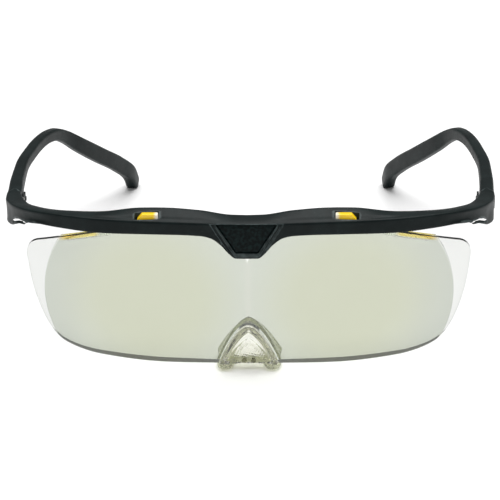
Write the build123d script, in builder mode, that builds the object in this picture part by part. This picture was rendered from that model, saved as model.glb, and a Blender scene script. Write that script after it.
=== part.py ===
from build123d import *
from math import asin, cos, sin
import os

os.makedirs("parts", exist_ok=True)

# Wide single-lens magnifying spectacles: a black brow bar, one wrapped shield lens,
# a soft nose saddle and two folding temples that end in ear hooks.
# Units are millimetres.  +X is the wearer's left, the lens faces -Y, and Z = 0 is the table
# that the nose lobes and the hook tips stand on.  The origin is the centre of the footprint.

# ---------------------------------------------------------------- driving dimensions
LENS_Y = -75.9              # lens front face on the centre line
WRAP_RADIUS = 300.0         # curve of the whole front in plan

WING_THICKNESS = 1.4        # plain lens outside the optical zones
ZONE_THICKNESS = 5.5        # lens at the middle of each optical zone
ZONE_X = 31.7               # middle of each optical zone
ZONE_Z = 25.2
ZONE_RADIUS = 34.5          # outer boundary of each optical zone
ZONE_BACK_RADIUS = 500.0    # sphere behind each optical zone
LENS_BOTTOM = 2.9
LENS_TOP = 52.4
LENS_TOP_HALF = 41.5        # half width of the lens inside the brow bar
LENS_STEP_X = 43.7          # foot of the slanted step beside the brow bar
LENS_STEP_Z = 48.8
FLANGE_BOTTOM = 49.8        # the lens is thinner above this, inside the bar's rebate
FLANGE_THICKNESS = 2.6
TAB_BOTTOM = 50.6           # snap tabs that stand up into the bar's windows
TAB_TOP = 55.9
TAB_OUTER = 34.6
TAB_CUT = 1.5               # slanted outer corner of a tab
TAB_FRONT = -0.3
TAB_BACK = 1.7

BAR_FRONT = -3.5            # front of the brow bar, ahead of the lens face
BAR_BACK = 2.6
BAR_TOP = 54.8
BAR_UNDERSIDE = 49.6
BAR_END = 81.4              # where the front outline is closed, outside the end pieces
SHIELD_BOTTOM = 41.9
REBATE_TOP = 52.7           # ceiling of the rebate that takes the lens
REBATE_END = 44.1
REBATE_GAP = 0.25
WINDOW_X = 31.6             # middle of each window over a lens tab
WINDOW_WIDTH = 7.8
WINDOW_FRONT = -0.7
WINDOW_BACK = 2.0
WINDOW_FLOOR = 50.1
LIP_TIP = (72.1, 46.8)      # free tip of the thin lip under each end piece
SLOT_FRONT = 9.0            # the slot above the lip runs between these depths
SLOT_BACK = 24.0
HOLLOW_TOP = 47.4           # ceiling of the hollow behind the lip
HOLLOW_FLOOR = 40.0

INLAY_TOP = 53.8
INLAY_BOTTOM = 43.7
INLAY_TOP_HALF = 9.9
INLAY_BOTTOM_HALF = 3.6
INLAY_THICKNESS = 0.6
INLAY_GAP = 0.12
RIB_WIDTH = 1.5
RIB_HEIGHT = 0.7

SEAM_X = 78.0               # middle of the rounded seam between end piece and temple
SEAM_DEPTH = 31.0
SEAM_HALF_WIDTH = 2.4
SEAM_LENGTH = 3.0
SEAM_GAP = 0.18

HINGE_X = SEAM_X - SEAM_HALF_WIDTH
HINGE_DEPTH = SEAM_DEPTH
BARREL_RADIUS = 1.3
BARREL_RELIEF = 1.55
PIN_RADIUS = 0.55
PIN_CLEARANCE = 0.05
KNUCKLE_HEIGHT = 1.2
KNUCKLE_GAP = 0.1
HINGE_BOTTOM = 43.45
RELIEF_BELOW = 1.2          # the relief starts this far under the hinge
RELIEF_HEIGHT = 5.8
BLOCK_TOP = 48.4            # hinge block behind each end piece
LEAF_THICKNESS = 0.7
LEAF_LENGTH = 5.2
LEAF_START = 1.75           # from the hinge axis to the near end of a leaf
RIVET_RADIUS = 0.5
RIVET_PITCH = 2.6
RIVET_HEAD_RADIUS = 0.85
RIVET_HEAD_HEIGHT = 0.3
RIVET_LENGTH = 1.6
SCREW_HEAD_RADIUS = 1.05
SCREW_HEAD_HEIGHT = 0.5
SCREW_SLOT_LENGTH = 3.0
SCREW_SLOT_WIDTH = 0.3
SCREW_SLOT_DEPTH = 0.25
SCREW_PLAY = 0.05
NUT_RADIUS = 1.1
NUT_HEIGHT = 0.7

NOTCH_HALF = 9.8            # nose notch in the lens
NOTCH_FOOT = 3.0
NOTCH_APEX = 16.8
NOTCH_INSET = 0.2
CARRIER_FRONT = -0.4        # clear carrier in the notch
CARRIER_FOOT = 2.4
CARRIER_WALL = 1.7
CARRIER_CROWN = 2.7         # from the notch's apex down to the carrier's hollow
CARRIER_PLATE = 4.8         # front of the arch plate behind the lens
CARRIER_PLATE_THICKNESS = 1.0
CARRIER_PLATE_LAP = 0.8
WEB_FRONT = 0.8
WEB_THICKNESS = 1.2
PEG_X = 1.5
PEG_Z = 3.4
PEG_RADIUS = 0.5
PEG_HEAD = 0.85
PEG_LENGTH = 3.0
PEG_CLEARANCE = 0.1
SADDLE_FRONT = 6.0
SADDLE_BACK = 14.0
SADDLE_FOOT = 2.0
LOBE_INNER = 4.8
LOBE_OUTER = 10.6
LOBE_CORNER = 2.4
LOBE_HEIGHT = 2.2
LOBE_FRONT = -0.5
MEMBRANE_FRONT = 2.2
MEMBRANE_THICKNESS = 1.0
MEMBRANE_Z = 3.3
MEMBRANE_WIDTH = 13.2
MEMBRANE_HEIGHT = 2.6

TEMPLE_CORNER = 1.2

FRONT = Plane((0, LENS_Y, 0), x_dir=(1, 0, 0), z_dir=(0, -1, 0))
PLAN = Plane((0, LENS_Y, 0))
KNUCKLE_PITCH = KNUCKLE_HEIGHT + KNUCKLE_GAP
HINGE_TOP = HINGE_BOTTOM + 2 * KNUCKLE_PITCH + KNUCKLE_HEIGHT
HINGE_MIDDLE = (HINGE_BOTTOM + HINGE_TOP) / 2
CLEAR_ABOVE = 70.0          # taller than the whole front
CLEAR_BEHIND = 60.0         # deeper than the whole front


def wrap_depth(x):
    """Depth of the wrapped front at a distance x from the centre line."""
    return WRAP_RADIUS - (WRAP_RADIUS**2 - x**2) ** 0.5


def wrap_points(end, offset):
    """Three plan points along the wrapped front, from the centre line to end."""
    return [(x, wrap_depth(x) + offset) for x in (0, end / 2, end)]


def behind(depth):
    """Upright plane, seen from the front, at a depth behind the lens face."""
    return FRONT.offset(-depth)


# ---------------------------------------------------------------- lens
with BuildSketch(FRONT) as lens_outline:
    with BuildLine():
        notch = Spline(
            (0, NOTCH_APEX),
            (NOTCH_HALF * 0.44, 13.5),
            (NOTCH_HALF * 0.735, 8.8),
            (NOTCH_HALF, NOTCH_FOOT),
            tangents=((1, 0), (0.12, -1)),
        )
        lower = Spline(
            notch @ 1,
            (27, LENS_BOTTOM - 0.1),
            (48.5, 4.3),
            (60.5, 8.2),
            tangents=((1, -0.03), (1, 0.55)),
        )
        side = Spline(
            lower @ 1,
            (66.2, 15.6),
            (70.2, 28.5),
            (71.5, 38.2),
            tangents=((1, 0.55), (0.02, 1)),
        )
        corner = ThreePointArc(side @ 1, (70.8, 41.3), (68.0, 43.5))
        brow = Line(corner @ 1, (LENS_STEP_X, LENS_STEP_Z))
        step = Line(brow @ 1, (LENS_TOP_HALF, LENS_TOP))
        Line(step @ 1, (0, LENS_TOP))
        Line((0, LENS_TOP), (0, NOTCH_APEX))
    make_face()

with BuildSketch(PLAN) as wing_band:
    with BuildLine():
        wing_front = wrap_points(2 * LENS_TOP_HALF, 0)
        wing_back = wrap_points(2 * LENS_TOP_HALF, WING_THICKNESS)
        ThreePointArc(*wing_front)
        Line(wing_front[-1], wing_back[-1])
        ThreePointArc(*wing_back)
        Line(wing_back[0], wing_front[0])
    make_face()

with BuildPart() as lens_wing:
    extrude(wing_band.sketch, amount=CLEAR_ABOVE)
    extrude(lens_outline.sketch, amount=CLEAR_BEHIND, both=True, mode=Mode.INTERSECT)

zone_turn = asin(ZONE_X / WRAP_RADIUS)
zone_reach = ZONE_THICKNESS - ZONE_BACK_RADIUS
zone_centre = Vector(
    ZONE_X - zone_reach * sin(zone_turn),
    LENS_Y + wrap_depth(ZONE_X) + zone_reach * cos(zone_turn),
    ZONE_Z,
)
ZONE_BLANK_FRONT = -1.0
ZONE_BLANK_DEPTH = 16.0

with BuildPart() as lens_zone:
    with BuildSketch(behind(ZONE_BLANK_FRONT)):
        with Locations((ZONE_X, ZONE_Z)):
            Circle(ZONE_RADIUS)
    extrude(amount=-ZONE_BLANK_DEPTH)
    extrude(lens_outline.sketch, amount=CLEAR_BEHIND, both=True, mode=Mode.INTERSECT)
    with Locations(PLAN.location * Location((0, WRAP_RADIUS, CLEAR_ABOVE / 2))):
        Cylinder(WRAP_RADIUS, CLEAR_ABOVE, mode=Mode.INTERSECT)
    with Locations(zone_centre):
        Sphere(ZONE_BACK_RADIUS, mode=Mode.INTERSECT)

tab_inner = WINDOW_X - WINDOW_WIDTH / 2 + 0.3
tab_outline = [
    (tab_inner, TAB_BOTTOM),
    (TAB_OUTER, TAB_BOTTOM),
    (TAB_OUTER, TAB_TOP - 1.2 * TAB_CUT),
    (TAB_OUTER - TAB_CUT, TAB_TOP),
    (tab_inner, TAB_TOP),
]
tab_root = LENS_TOP - TAB_BOTTOM - 0.2
flange_cut = wrap_points(1.2 * LENS_TOP_HALF, FLANGE_THICKNESS)

with BuildPart() as magnifying_lens:
    add(lens_zone.part)
    with BuildSketch(PLAN.offset(FLANGE_BOTTOM)):
        with BuildLine():
            ThreePointArc(*flange_cut)
            Polyline(flange_cut[-1], (flange_cut[-1][0], 20), (0, 20), flange_cut[0])
        make_face()
    extrude(amount=CLEAR_ABOVE, mode=Mode.SUBTRACT)
    add(lens_wing.part)
    with BuildSketch(behind(TAB_FRONT)):
        with BuildLine():
            Polyline(*tab_outline, close=True)
        make_face()
    extrude(amount=TAB_FRONT - TAB_BACK)
    with BuildSketch(behind(TAB_FRONT)):
        with Locations(((tab_inner + TAB_OUTER) / 2, TAB_BOTTOM + tab_root / 2)):
            Rectangle(TAB_OUTER - tab_inner, tab_root)
    extrude(amount=TAB_FRONT - TAB_BACK - 1)
    mirror(about=Plane.YZ)

# ---------------------------------------------------------------- front frame
with BuildSketch(FRONT) as bar_outline:
    with BuildLine():
        crown = Spline(
            (0, BAR_TOP),
            (15, 55.9),
            (25, 56.4),
            (34, 56.0),
            (47, 54.5),
            (60, 53.2),
            (70, 51.6),
            (BAR_END, 49.3),
            tangents=((1, 0), (1, -0.1)),
        )
        Polyline(crown @ 1, (BAR_END, 43.2), (80.4, 42.8), (80.1, 42.2))
        lip = Spline(
            (80.1, 42.2),
            (79.0, 42.6),
            (77.5, 43.5),
            (76.0, 44.9),
            (74.2, 46.2),
            LIP_TIP,
            tangents=((-1, 0.2), (-1, 0.2)),
        )
        tip = Line(lip @ 1, (71.9, 47.75))
        rise = Spline(
            tip @ 1,
            (70, 48.2),
            (66, 49.0),
            (46, 49.3),
            (21, 49.8),
            (14.8, BAR_UNDERSIDE),
            tangents=((-1, 0.2), (-1, -0.15)),
        )
        flank = Spline(
            rise @ 1,
            (8.5, 46.8),
            (5.4, 43.3),
            (3.9, SHIELD_BOTTOM),
            tangents=((-1, -0.2), (-1, -0.35)),
        )
        Line(flank @ 1, (0, SHIELD_BOTTOM))
        Line((0, SHIELD_BOTTOM), (0, BAR_TOP))
    make_face()

with BuildSketch(PLAN) as bar_plan:
    with BuildLine():
        bar_face = ThreePointArc(*wrap_points(50, BAR_FRONT))
        cheek = Spline(
            bar_face @ 1,
            (62, 5.4),
            (71.5, 11.0),
            (77.2, 18.8),
            (80.3, 27.0),
            (SEAM_X + SEAM_HALF_WIDTH, SEAM_DEPTH),
            tangents=(bar_face % 1, (0, 1)),
        )
        EllipticalCenterArc(
            (SEAM_X, SEAM_DEPTH), SEAM_HALF_WIDTH, SEAM_LENGTH, start_angle=0, arc_size=180
        )
        seat = Line((HINGE_X, SEAM_DEPTH), (73.7, 24.8))
        Spline(
            seat @ 1,
            (71, 19),
            (66.5, 14),
            (59.5, 9.6),
            (52, 7.0),
            (34, 4.6),
            (0, BAR_BACK),
            tangents=(seat % 1, (-1, 0)),
        )
        Line((0, BAR_BACK), (0, BAR_FRONT))
    make_face()

inlay_edge = [
    (-INLAY_TOP_HALF, INLAY_TOP),
    (INLAY_TOP_HALF, INLAY_TOP),
    (INLAY_BOTTOM_HALF, INLAY_BOTTOM),
    (-INLAY_BOTTOM_HALF, INLAY_BOTTOM),
]
rib_edge = [
    (INLAY_TOP_HALF + 0.3, INLAY_TOP),
    (INLAY_TOP_HALF + RIB_WIDTH, INLAY_TOP),
    (INLAY_BOTTOM_HALF + 0.6 * RIB_WIDTH, INLAY_BOTTOM - 1),
    (INLAY_BOTTOM_HALF - 0.4, INLAY_BOTTOM - 1),
]
inlay_back = BAR_FRONT + 1.5 * INLAY_THICKNESS
rebate_face = wrap_points(REBATE_END, -REBATE_GAP)
slot_edge = [
    (71.5, 47.8),
    (73.0, 47.7),
    (74.5, 47.45),
    (76.0, 46.5),
    (77.2, 45.2),
    (77.2, 44.7),
    (76.0, 45.4),
    (74.5, 46.4),
    (73.0, 46.9),
    (71.5, 47.15),
]
hollow_plan = [(70.5, 13.2), (73.6, 15.6), (76.6, 19.4), (78.6, 24.2), (73.5, 24.2), (70.0, 18.5)]
block_plan = [(73.75, 24.9), (75.62, 31.0), (77.2, 31.4), (77.6, 25.2)]

with BuildPart() as half_frame:
    extrude(bar_plan.sketch, amount=CLEAR_ABOVE)
    extrude(bar_outline.sketch, amount=CLEAR_BEHIND, both=True, mode=Mode.INTERSECT)
    with BuildSketch(PLAN.offset(SHIELD_BOTTOM - 1)):
        with BuildLine():
            ThreePointArc(*rebate_face)
            Polyline(rebate_face[-1], (REBATE_END, 20), (0, 20), rebate_face[0])
        make_face()
    extrude(amount=REBATE_TOP - SHIELD_BOTTOM + 1, mode=Mode.SUBTRACT)
    with BuildSketch(PLAN.offset(WINDOW_FLOOR)):
        with Locations((WINDOW_X, (WINDOW_FRONT + WINDOW_BACK) / 2)):
            Rectangle(WINDOW_WIDTH, WINDOW_BACK - WINDOW_FRONT)
    extrude(amount=CLEAR_ABOVE, mode=Mode.SUBTRACT)
    with BuildSketch(behind(SLOT_FRONT)):
        with BuildLine():
            Polyline(*slot_edge, close=True)
        make_face()
    extrude(amount=SLOT_FRONT - SLOT_BACK, mode=Mode.SUBTRACT)
    with BuildSketch(PLAN.offset(HOLLOW_FLOOR)):
        with BuildLine():
            Polyline(*hollow_plan, close=True)
        make_face()
    extrude(amount=HOLLOW_TOP - HOLLOW_FLOOR, mode=Mode.SUBTRACT)
    with BuildSketch(PLAN.offset(HINGE_BOTTOM)):
        with BuildLine():
            Polyline(*block_plan, close=True)
        make_face()
    extrude(amount=BLOCK_TOP - HINGE_BOTTOM)
    with BuildSketch(PLAN.offset(HINGE_BOTTOM - RELIEF_BELOW)):
        with Locations((HINGE_X, HINGE_DEPTH)):
            Circle(BARREL_RELIEF)
    extrude(amount=RELIEF_HEIGHT, mode=Mode.SUBTRACT)

with BuildPart() as plain_front:
    add(half_frame.part)
    with BuildSketch(behind(BAR_FRONT + 1)):
        with BuildLine():
            Polyline(*rib_edge, close=True)
        make_face()
    extrude(amount=1 + RIB_HEIGHT)
    mirror(about=Plane.YZ)
    with BuildSketch(behind(inlay_back)):
        with BuildLine():
            Polyline(*inlay_edge, close=True)
        make_face()
    extrude(amount=5, mode=Mode.SUBTRACT)

with BuildPart() as bridge_inlay:
    with BuildSketch(behind(inlay_back)):
        with BuildLine():
            Polyline(*inlay_edge, close=True)
        make_face()
        offset(amount=-INLAY_GAP, mode=Mode.REPLACE)
    extrude(amount=INLAY_THICKNESS)
    fillet(bridge_inlay.edges().filter_by(Axis.Y), 0.5)


# ---------------------------------------------------------------- nose carrier, saddle and pegs
def arch(half_width, foot, apex):
    """Face of a round-topped arch, closed along its foot."""
    height = apex - foot
    with BuildSketch() as face:
        with BuildLine():
            left = Spline(
                (-half_width, foot),
                (-0.735 * half_width, apex - 0.58 * height),
                (-0.44 * half_width, apex - 0.24 * height),
                (0, apex),
                tangents=((0.12, 1), (1, 0)),
            )
            mirror(left, about=Plane.YZ)
            Line((-half_width, foot), (half_width, foot))
        make_face()
    return face.sketch


notch_fill = arch(NOTCH_HALF - NOTCH_INSET, CARRIER_FOOT, NOTCH_APEX - 1.75 * NOTCH_INSET)
notch_hollow = arch(NOTCH_HALF - CARRIER_WALL, CARRIER_FOOT, NOTCH_APEX - CARRIER_CROWN)
plate_apex = NOTCH_APEX + CARRIER_PLATE_LAP + 0.1
carrier_plate = arch(NOTCH_HALF + CARRIER_PLATE_LAP, CARRIER_FOOT, plate_apex)
peg_places = [(-PEG_X, PEG_Z), (PEG_X, PEG_Z)]

with BuildPart() as nose_carrier:
    with BuildSketch(behind(CARRIER_FRONT)):
        add(notch_fill)
        add(notch_hollow, mode=Mode.SUBTRACT)
    extrude(amount=CARRIER_FRONT - CARRIER_PLATE)
    with BuildSketch(behind(CARRIER_PLATE)):
        add(carrier_plate)
        add(notch_hollow, mode=Mode.SUBTRACT)
    extrude(amount=-CARRIER_PLATE_THICKNESS)
    with BuildSketch(behind(WEB_FRONT)):
        add(notch_fill)
    extrude(amount=-WEB_THICKNESS)
    with BuildSketch(behind(WEB_FRONT)):
        with Locations(*peg_places):
            Circle(PEG_RADIUS + PEG_CLEARANCE)
    extrude(amount=-WEB_THICKNESS, mode=Mode.SUBTRACT)

with BuildPart() as nose_pad:
    with BuildSketch(behind(SADDLE_FRONT)):
        add(arch(LOBE_OUTER - 0.4, SADDLE_FOOT, NOTCH_APEX + 0.2))
    with BuildSketch(behind(SADDLE_BACK)):
        add(arch(LOBE_OUTER + 0.8, SADDLE_FOOT, NOTCH_APEX - 3.2))
    loft()
    with BuildSketch(behind(SADDLE_FRONT - 1)):
        add(arch(LOBE_INNER + 0.6, -1.0, NOTCH_APEX - 4.2))
    with BuildSketch(behind(SADDLE_BACK + 1)):
        add(arch(LOBE_INNER + 3.2, -1.0, NOTCH_APEX - 6.4))
    loft(mode=Mode.SUBTRACT)
    with BuildSketch(Plane.XY):
        lobe_x = (LOBE_INNER + LOBE_OUTER) / 2
        lobe_y = LENS_Y + (SADDLE_BACK + LOBE_FRONT) / 2
        with Locations((-lobe_x, lobe_y), (lobe_x, lobe_y)):
            RectangleRounded(LOBE_OUTER - LOBE_INNER, SADDLE_BACK - LOBE_FRONT, LOBE_CORNER)
    extrude(amount=LOBE_HEIGHT)
    with BuildSketch(behind(MEMBRANE_FRONT)):
        with Locations((0, MEMBRANE_Z)):
            Rectangle(MEMBRANE_WIDTH, MEMBRANE_HEIGHT)
        with Locations(*peg_places):
            Circle(PEG_RADIUS + PEG_CLEARANCE, mode=Mode.SUBTRACT)
    extrude(amount=-MEMBRANE_THICKNESS)

with BuildPart() as nose_pad_pegs:
    with BuildSketch(behind(WEB_FRONT - 0.5)):
        with Locations(*peg_places):
            Circle(PEG_HEAD)
    extrude(amount=-0.5)
    with BuildSketch(behind(WEB_FRONT)):
        with Locations(*peg_places):
            Circle(PEG_RADIUS)
    extrude(amount=-PEG_LENGTH)
    fillet(nose_pad_pegs.faces().sort_by(Axis.Y)[:2].edges(), 0.2)

# ---------------------------------------------------------------- temples
# Each station: middle of the section behind the lens face, then the strap's height and width.
temple_stations = [
    ((77.9, 29.0, 46.3), 6.6, 4.7),
    ((78.3, 37.0, 46.45), 6.3, 4.6),
    ((78.9, 46.0, 46.95), 5.2, 4.3),
    ((79.2, 60.0, 47.0), 4.3, 4.0),
    ((77.9, 76.0, 46.3), 4.2, 3.9),
    ((75.9, 90.0, 45.0), 4.2, 3.9),
    ((73.2, 101.0, 42.7), 4.4, 4.0),
    ((70.4, 108.5, 38.8), 4.8, 4.1),
    ((66.4, 115.5, 33.0), 5.6, 4.2),
    ((60.4, 127.0, 24.1), 6.0, 4.2),
    ((54.4, 139.4, 15.0), 6.0, 4.2),
    ((50.9, 148.0, 7.6), 5.8, 4.4),
    ((50.0, 153.9, 0.4), 5.4, 4.6),
]


def temple_section(index):
    """Plane across the temple at one station, its x axis across the strap's width."""
    middle = Vector(*temple_stations[index][0])
    before = Vector(*temple_stations[max(index - 1, 0)][0])
    after = Vector(*temple_stations[min(index + 1, len(temple_stations) - 1)][0])
    along = (after - before).normalized()
    across = along.cross(Vector(0, 0, 1)).normalized()
    return Plane(middle + Vector(0, LENS_Y, 0), x_dir=across, z_dir=along)


with BuildPart() as temple_strap:
    for index, (_, height, width) in enumerate(temple_stations):
        with BuildSketch(temple_section(index)):
            RectangleRounded(width, height, TEMPLE_CORNER)
    loft()
    with BuildSketch(PLAN):
        with Locations((temple_stations[-1][0][0], temple_stations[-1][0][1])):
            Rectangle(CLEAR_BEHIND, CLEAR_BEHIND)
    extrude(amount=-CLEAR_BEHIND, mode=Mode.SUBTRACT)
    with BuildSketch(PLAN):
        with Locations((SEAM_X, SEAM_DEPTH)):
            Ellipse(SEAM_HALF_WIDTH + SEAM_GAP, SEAM_LENGTH + SEAM_GAP)
        with Locations((SEAM_X, SEAM_DEPTH - 5)):
            Rectangle(12, 10)
    extrude(amount=CLEAR_ABOVE, mode=Mode.SUBTRACT)
    with BuildSketch(PLAN.offset(HINGE_BOTTOM - RELIEF_BELOW)):
        with Locations((HINGE_X, HINGE_DEPTH)):
            Circle(BARREL_RELIEF)
    extrude(amount=RELIEF_HEIGHT, mode=Mode.SUBTRACT)

# ---------------------------------------------------------------- hinges
# A leaf's plane stands on the hinge axis, its x axis along the plate, away from the axis.
hinge_origin = PLAN.from_local_coords((HINGE_X, HINGE_DEPTH, 0))
front_leaf_plane = Plane(hinge_origin, x_dir=(-2.05, -6.2, 0), z_dir=(0, 0, 1))
temple_leaf_plane = Plane(hinge_origin, x_dir=(0.33, 8, 0), z_dir=(0, 0, 1))
leaf_middle = LEAF_START + LEAF_LENGTH / 2
rivet_places = [leaf_middle - RIVET_PITCH / 2, leaf_middle + RIVET_PITCH / 2]
FRONT_SIDE = -1             # side of its plane that each leaf lies on
TEMPLE_SIDE = 1


def hinge_leaf(plane, levels, side):
    """Plate with knuckles at the given levels, on one side of its plane."""
    with BuildPart() as leaf:
        with BuildSketch(plane.offset(HINGE_BOTTOM)):
            with Locations((leaf_middle, side * LEAF_THICKNESS / 2)):
                RectangleRounded(LEAF_LENGTH, LEAF_THICKNESS, 0.1)
        extrude(amount=HINGE_TOP - HINGE_BOTTOM)
        for level in levels:
            with BuildSketch(plane.offset(HINGE_BOTTOM + level * KNUCKLE_PITCH)):
                Circle(BARREL_RADIUS)
                with Locations(((LEAF_START + 0.3) / 2, side * LEAF_THICKNESS / 2)):
                    Rectangle(LEAF_START + 0.3, LEAF_THICKNESS)
                Circle(PIN_RADIUS + PIN_CLEARANCE, mode=Mode.SUBTRACT)
            extrude(amount=KNUCKLE_HEIGHT)
        with BuildSketch(Plane(plane.origin, x_dir=plane.x_dir, z_dir=plane.y_dir)):
            with Locations(*[(place, -HINGE_MIDDLE) for place in rivet_places]):
                Circle(RIVET_RADIUS)
        extrude(amount=2, both=True, mode=Mode.SUBTRACT)
    return leaf.part


def leaf_rivets(plane, side):
    """Two round-headed rivets through a leaf, their heads on the side that the leaf lies on."""
    foot = plane.from_local_coords((0, side * LEAF_THICKNESS, HINGE_MIDDLE))
    face = Plane(foot, plane.x_dir, side * plane.y_dir)
    with BuildPart() as rivets:
        with BuildSketch(face):
            with Locations(*[(place, 0) for place in rivet_places]):
                Circle(RIVET_HEAD_RADIUS)
        extrude(amount=RIVET_HEAD_HEIGHT, taper=20)
        with BuildSketch(face):
            with Locations(*[(place, 0) for place in rivet_places]):
                Circle(RIVET_RADIUS)
        extrude(amount=-RIVET_LENGTH)
    return rivets.part


with BuildPart() as hinge_front_leaf:
    add(hinge_leaf(front_leaf_plane, (0, 2), FRONT_SIDE))

with BuildPart() as hinge_temple_leaf:
    add(hinge_leaf(temple_leaf_plane, (1,), TEMPLE_SIDE))

with BuildPart() as front_leaf_rivets:
    add(leaf_rivets(front_leaf_plane, FRONT_SIDE))

with BuildPart() as temple_leaf_rivets:
    add(leaf_rivets(temple_leaf_plane, TEMPLE_SIDE))

with BuildPart() as hinge_screw:
    with BuildSketch(PLAN.offset(HINGE_BOTTOM - NUT_HEIGHT - 2 * SCREW_PLAY)):
        with Locations((HINGE_X, HINGE_DEPTH)):
            Circle(PIN_RADIUS)
    extrude(amount=HINGE_TOP - HINGE_BOTTOM + NUT_HEIGHT + 4 * SCREW_PLAY)
    with BuildSketch(PLAN.offset(HINGE_TOP + SCREW_PLAY)):
        with Locations((HINGE_X, HINGE_DEPTH)):
            Circle(SCREW_HEAD_RADIUS)
    extrude(amount=SCREW_HEAD_HEIGHT)
    with BuildSketch(PLAN.offset(HINGE_TOP + SCREW_PLAY + SCREW_HEAD_HEIGHT)):
        with Locations((HINGE_X, HINGE_DEPTH)):
            Rectangle(SCREW_SLOT_LENGTH, SCREW_SLOT_WIDTH)
    extrude(amount=-SCREW_SLOT_DEPTH, mode=Mode.SUBTRACT)

with BuildPart() as hinge_nut:
    with BuildSketch(PLAN.offset(HINGE_BOTTOM - SCREW_PLAY)):
        with Locations((HINGE_X, HINGE_DEPTH)):
            RegularPolygon(NUT_RADIUS, 6)
            Circle(PIN_RADIUS, mode=Mode.SUBTRACT)
    extrude(amount=-NUT_HEIGHT)

# ---------------------------------------------------------------- seats for the leaves and rivets
with BuildPart() as temple:
    add(temple_strap.part)
    add(temple_leaf_rivets.part, mode=Mode.SUBTRACT)
    add(hinge_temple_leaf.part, mode=Mode.SUBTRACT)

with BuildPart() as front_seats:
    add(front_leaf_rivets.part)
    add(hinge_front_leaf.part)
    mirror(about=Plane.YZ)

with BuildPart() as front_frame:
    add(plain_front.part)
    add(front_seats.part, mode=Mode.SUBTRACT)

# ---------------------------------------------------------------- finished pieces
single_pieces = {
    "front_frame": front_frame,
    "bridge_inlay": bridge_inlay,
    "magnifying_lens": magnifying_lens,
    "nose_carrier": nose_carrier,
    "nose_pad": nose_pad,
    "nose_pad_pegs": nose_pad_pegs,
}
paired_pieces = {
    "temple": temple,
    "hinge_front_leaf": hinge_front_leaf,
    "hinge_temple_leaf": hinge_temple_leaf,
    "hinge_screw": hinge_screw,
    "hinge_nut": hinge_nut,
    "front_leaf_rivets": front_leaf_rivets,
    "temple_leaf_rivets": temple_leaf_rivets,
}

for name, piece in single_pieces.items():
    piece.part.label = name
    export_step(piece.part, f"parts/{name}.step")

for name, piece in paired_pieces.items():
    piece.part.label = f"{name}_left"
    export_step(piece.part, f"parts/{name}_left.step")
    with BuildPart() as other_side:
        mirror(piece.part, about=Plane.YZ)
    other_side.part.label = f"{name}_right"
    export_step(other_side.part, f"parts/{name}_right.step")
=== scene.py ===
import logging
import math
from dataclasses import dataclass, field
from enum import Enum
from typing import Callable, Iterable, Sequence

import bmesh
import bpy
from mathutils import Matrix, Vector


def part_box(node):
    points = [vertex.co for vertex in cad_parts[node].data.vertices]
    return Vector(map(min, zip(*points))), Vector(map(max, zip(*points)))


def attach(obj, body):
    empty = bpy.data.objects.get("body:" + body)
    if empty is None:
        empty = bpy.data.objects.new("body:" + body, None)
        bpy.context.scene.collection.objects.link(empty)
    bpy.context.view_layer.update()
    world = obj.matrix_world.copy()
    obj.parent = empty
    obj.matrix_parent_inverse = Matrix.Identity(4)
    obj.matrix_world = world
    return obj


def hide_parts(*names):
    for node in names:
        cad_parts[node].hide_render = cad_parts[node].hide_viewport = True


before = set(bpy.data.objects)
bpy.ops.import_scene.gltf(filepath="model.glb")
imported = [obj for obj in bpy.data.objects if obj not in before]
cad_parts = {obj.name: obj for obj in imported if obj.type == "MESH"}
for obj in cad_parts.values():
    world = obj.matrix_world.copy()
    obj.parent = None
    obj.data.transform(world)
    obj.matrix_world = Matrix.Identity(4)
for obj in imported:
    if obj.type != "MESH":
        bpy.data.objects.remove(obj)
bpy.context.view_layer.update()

# Magnifying spectacles: a black brow bar over one wrapped shield lens, a clear nose carrier with a
# silicone saddle, and two folding temples that end in ear hooks.  Sizes here are in millimetres and
# become metres in point(); depth is measured back from the lens's front face on the centre line.

LOG = logging.getLogger("spectacles")
MM = 0.001
LENS_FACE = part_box("magnifying_lens")[0].y
BROW_CORNER = (43.7, 48.8)
BROW_END = (68.0, 43.5)
BROW_SLOPE = 0.218
HINGE_RELIEF = (75.6, 31.0, 1.55)
HINGE_LEVELS = (42.25, 48.05)
BLACKENED = ((0.050, 0.055, 0.055), (0.020, 0.022, 0.022))
BLACKENED_RIVET = ((0.060, 0.065, 0.065), (0.025, 0.027, 0.027))

Point2 = tuple[float, float]
Ring = list[Vector]


# ---------------------------------------------------------------- measures and curves
def point(x: float, depth: float, z: float) -> Vector:
    """A place in the row frame, in metres, from millimetres across, behind the lens face and up."""
    return Vector((x * MM, LENS_FACE + depth * MM, z * MM))


def wrap_depth(x: float, radius: float = 300.0) -> float:
    """Depth of the wrapped front at a distance x from the centre line."""
    return radius - math.sqrt(radius * radius - x * x)


def mix(a: float, b: float, share: float) -> float:
    """A value between a, at share 0, and b, at share 1."""
    return a + (b - a) * share


def ease(value: float, low: float, high: float) -> float:
    """Rises smoothly from 0 at low to 1 at high."""
    share = min(1.0, max(0.0, (value - low) / (high - low)))
    return share * share * (3 - 2 * share)


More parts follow.
